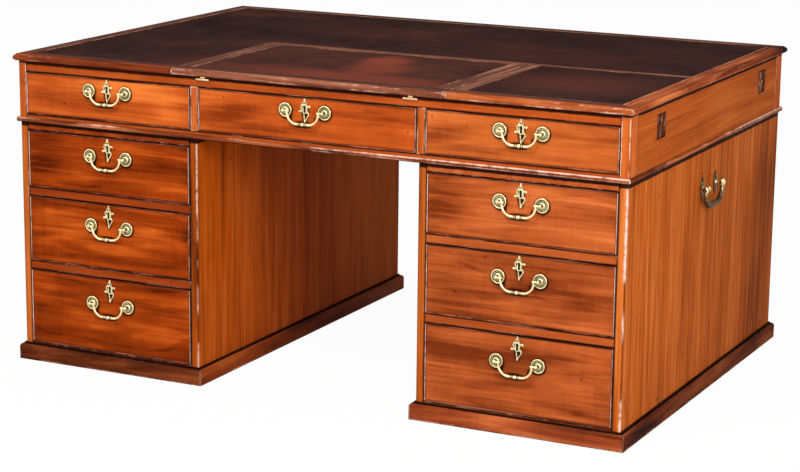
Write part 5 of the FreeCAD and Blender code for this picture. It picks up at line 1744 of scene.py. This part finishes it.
@dataclass
class Desk:
    """Every piece of the desk, built in the order that a workshop puts it together.

    Attributes:
    """

    frame: dict

    def body_of(self, node: str) -> str:
        """The body that a node moves with."""
        return self.frame["nodes"][node]["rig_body"]

    def joint_place(self, child: str) -> np.ndarray:
        """Where the joint that moves a body is."""
        return np.array(next(j["pos_m"] for j in self.frame["joints"] if j["child"] == child))

    def timber(self, node: str, finish: Timber | Metal, **settings: object) -> None:
        """Builds a wooden node's piece."""
        Joinery(node, finish, **settings).build(self.body_of(node))

    def build_top(self) -> None:
        """Builds the borders, the groundwork, the leathers and the writing slope."""
        others = {0: LEFT_NOSE, 1: NOSE, 2: RIGHT_BORDER} | given(DARK_BORDER, 3, 4) | given(STRIP, 5, 6, 7)
        self.timber("top_border", BORDER, others=others, easing=0.0008)
        self.timber("top_groundwork", LINING)
        self.timber("slope_board", SLOPE_EDGE, others={0: SLOPE_NOSE, 4: LINING}, easing=0.0008)
        self.timber("slope_well", LINING)
        self.timber("slope_strut", LINING, others={4: IRON})
        self.timber("slope_hinge_tails", HINGE_BRASS, easing=0.0003)
        self.timber("slope_hinge_flaps", HINGE_BRASS, easing=0.0003)
        for node, finish in (("top_leather", LEATHER), ("slope_leather", SLOPE_LEATHER)):
            materials = self.frame["nodes"][node].data.materials
            materials.clear()
            materials.append(coat(finish))
            LOG.info("%s is dressed in place", node)

    def build_frieze(self) -> None:
        """Builds the frieze's frame, its end boards and the waist moulding."""
        others = given(POST, 0, 1, 2, 3, 6, 8, 12, 14) | given(LINING, 7, 9, 13, 15, 16, 17, 18, 19)
        self.timber("frieze_frame", RAIL, others=others, easing=0.0006)
        self.timber("frieze_ends", END_BOARD, others=given(PATCH, 0, 1, 3, 4), easing=0.0004)
        self.timber("waist_moulding", WAIST, easing=0.0006)

    def build_pedestals(self) -> None:
        """Builds the cases, plinths, runners and cupboard doors."""
        upright = {0: Grain.ALONG_Z, 1: Grain.ALONG_Z}
        sides_and_blade = {
            "left": ({0: PLAIN_SIDE, 1: KNEEHOLE_SIDE}, LEFT_BLADE), "right": ({1: PLAIN_SIDE}, BLADE)
        }
        for hand, (sides, blade) in sides_and_blade.items():
            others = given(LINING, 6, 9, 10, 11) | given(blade, 2, 3, 4, 5, 7, 8) | sides
            self.timber(hand + "_pedestal_case", SIDE, others=others, grains=upright, easing=0.0012)
            self.timber(hand + "_cupboard_door", PANEL, others={4: RIGHT_DRAWER})
            self.timber(hand + "_door_brass", HINGE_BRASS, others={3: IRON}, easing=0.0003)
        self.timber("plinths", PLINTH, others={0: RIGHT_PLINTH, 7: INNER_PLINTH}, easing=0.0015)
        self.timber("drawer_runners", LINING)
        self.timber("door_hinge_tails", HINGE_BRASS, easing=0.0003)

    def build_drawers(self) -> None:
        """Builds every drawer with its handle."""
        stems = [hand + "_" + level for hand in ("left", "right") for level in ("upper", "middle", "lower")]
        places = ("left", "centre", "right")
        stems += [side + "_" + place + "_frieze" for side in ("front", "back") for place in places]
        for stem in stems:
            node = stem + "_drawer"
            boards = boards_of(node)
            front, plate = boards[0], boards_of(node + "_brass")[4]
            pin = self.joint_place(node + "_bail")
            level = float(pin[2] - (front.low[2] + front.high[2]) / 2) / MM
            lock = float(plate.low[2] + plate.high[2] - front.low[2] - front.high[2]) / 2 / MM
            figure = (*DRAWER_FIGURES.get(stem, ()), *EVERY_FRONT)
            face = FACES.get(stem.rsplit("_", 1)[0], FRIEZE_DRAWER)
            face = replace(face, name=stem + "_mahogany", strokes=figure, shadows_and_dirt=handle_shadows_and_dirt(level, lock))
            beads = {n: UPRIGHT_BEAD if boards[n].long_way() is Grain.ALONG_Z else BEAD for n in (1, 2, 3, 4)}
            self.timber(node, face, others=beads | given(LINING, 5, 6, 7, 8), easing=0.0005)
            side = Side.PARTNER if stem.startswith("back") else Side.SITTER
            face_y = float(front.high[1] if side is Side.PARTNER else front.low[1])
            keyhole_z = float(plate.high[2]) - KEYHOLE_DROP * MM
            DrawerHandle(node, side).build(node + "_brass", pin, face_y, keyhole_z)

    def build_carrying_handles(self) -> None:
        """Builds the lifting handles on the pedestals' outer sides."""
        plates = Surfaces()
        for body, out in (("right_carrying_bail", 1.0), ("left_carrying_bail", -1.0)):
            level = float(self.joint_place(body)[2])
            handle = CarryingHandle(body, out)
            handle.build_plates(plates, level)
            bail = Surfaces()
            handle.build_bail(bail, level)
            place_piece(cast(body, bail, HANDLE_BRASS), body, (body,))
        place_piece(cast("carrying_plates", plates, HANDLE_BRASS), "desk", ("carrying_plates",))


# ------------------------------------------------------------------ studio


def stand(thing: bpy.types.Object, right: np.ndarray, up: np.ndarray, back: np.ndarray, place: Place) -> None:
    """Stands a camera or a lamp in the scene.

    Args:
        thing: The camera or lamp.
        right: Where its own x axis points.
        up: Where its y axis points.
        back: Where its z axis points, away from what it looks at.
        place: Where it stands, in metres.
    """
    pose = np.eye(4)
    pose[:3, 0], pose[:3, 1], pose[:3, 2], pose[:3, 3] = right, up, back, place
    thing.matrix_world = Matrix(pose.tolist())
    bpy.context.scene.collection.objects.link(thing)


@dataclass
class Studio:
    """The camera, the pale floor and the lamps.

    Attributes:
        eye: Where the camera is, in metres.
        yaw: How far the camera turns left, in degrees.
        pitch: How far it looks down.
        roll: How far it leans.
        focal: Focal length in pixels.
        wide: Width of its frame in pixels.
        sensor: Width of its sensor in millimetres.
        floor_half: Half of the floor's side, in metres.
        floor_z: The floor's height, just under the desk.
        floor_white: How white the floor looks to the camera.
        world_light: Strength of the room's soft light.
    """

    eye: Place = (2.500251, -5.132415, 1.590981)
    yaw: float = 26.15616
    pitch: float = 12.79945
    roll: float = 0.65033
    focal: float = 2291.017
    wide: float = 800.0
    sensor: float = 36.0
    floor_half: float = 30.0
    floor_z: float = -0.0005
    floor_white: float = 0.965
    world_light: float = 0.42

    def add_camera(self) -> None:
        """Stands the camera where its measured direction and focal length put it."""
        y, p, r = (math.radians(a) for a in (self.yaw, self.pitch, self.roll))
        ahead = np.array([-math.sin(y) * math.cos(p), math.cos(y) * math.cos(p), -math.sin(p)])
        right = np.array([math.cos(y), math.sin(y), 0.0])
        up = np.cross(right, ahead)
        right, up = right * math.cos(r) + up * math.sin(r), up * math.cos(r) - right * math.sin(r)
        data = bpy.data.cameras.new("camera")
        data.sensor_width = self.sensor
        data.lens = self.focal * self.sensor / self.wide
        camera = bpy.data.objects.new("camera", data)
        stand(camera, right, up, -ahead, self.eye)
        bpy.context.scene.camera = camera

    def add_floor(self) -> None:
        """Lays a pale floor that keeps the desk's shadow and fades to white for the camera."""
        mesh = bpy.data.meshes.new("floor")
        half, z = self.floor_half, self.floor_z
        mesh.from_pydata(
            [(-half, -half, z), (half, -half, z), (half, half, z), (-half, half, z)], [], [(0, 1, 2, 3)]
        )
        g = ShaderGraph(bpy.data.materials.new("pale_floor"))
        paint = g.node("ShaderNodeBsdfDiffuse", {"Color": (0.9, 0.9, 0.9, 1.0)})
        white = g.node("ShaderNodeEmission", {"Color": WHITE, "Strength": 1.0})
        share = g.math("MULTIPLY", g.direct(), self.floor_white)
        both = g.node("ShaderNodeMixShader", {0: share, 1: paint.outputs[0], 2: white.outputs[0]})
        g.node("ShaderNodeOutputMaterial", {"Surface": both.outputs[0]})
        linked("floor", mesh, [g.owner])

    def add_world(self) -> None:
        """Fills the room with soft light, and shows white to the camera and in gloss."""
        world = bpy.data.worlds.new("studio")
        g = ShaderGraph(world)
        lamp = g.node("ShaderNodeBackground", {"Color": WHITE, "Strength": self.world_light})
        white = g.node("ShaderNodeBackground", {"Color": WHITE, "Strength": 1.0})
        both = g.node("ShaderNodeMixShader", {0: g.direct(), 1: lamp.outputs[0], 2: white.outputs[0]})
        g.node("ShaderNodeOutputWorld", {"Surface": both.outputs[0]})
        bpy.context.scene.world = world

    def add_lamp(self, name: str, place: Place, aim: Place, size: float, watts: float) -> None:
        """Hangs a square soft lamp.

        Args:
            name: The lamp's name.
            place: Where it hangs, in metres.
            aim: What it shines at.
            size: The side of its square.
            watts: Its power.
        """
        data = bpy.data.lights.new(name, "AREA")
        data.size = size
        data.energy = watts
        back = np.array(place) - np.array(aim)
        back /= np.linalg.norm(back)
        right = np.cross(Z_AXIS, back)
        right /= np.linalg.norm(right)
        stand(bpy.data.objects.new(name, data), right, np.cross(back, right), back, place)

    def build(self) -> None:
        """Builds the whole studio."""
        self.add_camera()
        self.add_floor()
        self.add_world()
        self.add_lamp("key", (0.2, -2.6, 3.5), (0.0, -0.4, 0.35), 0.8, 66.0)
        self.add_lamp("side", (2.8, -2.4, 1.7), (0.3, -0.4, 0.4), 1.4, 70.0)
        self.add_lamp("fill", (-2.6, -4.2, 1.6), (-0.2, 0.0, 0.4), 2.4, 34.0)
        bpy.context.scene.view_settings.view_transform = "Standard"


def main() -> None:
    """Builds the desk and its studio."""
    logging.basicConfig(level=logging.INFO, format="%(message)s")
    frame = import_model()
    desk = Desk(frame)
    desk.build_top()
    desk.build_frieze()
    desk.build_pedestals()
    desk.build_drawers()
    desk.build_carrying_handles()
    Studio().build()


if __name__ == "__main__":
    main()
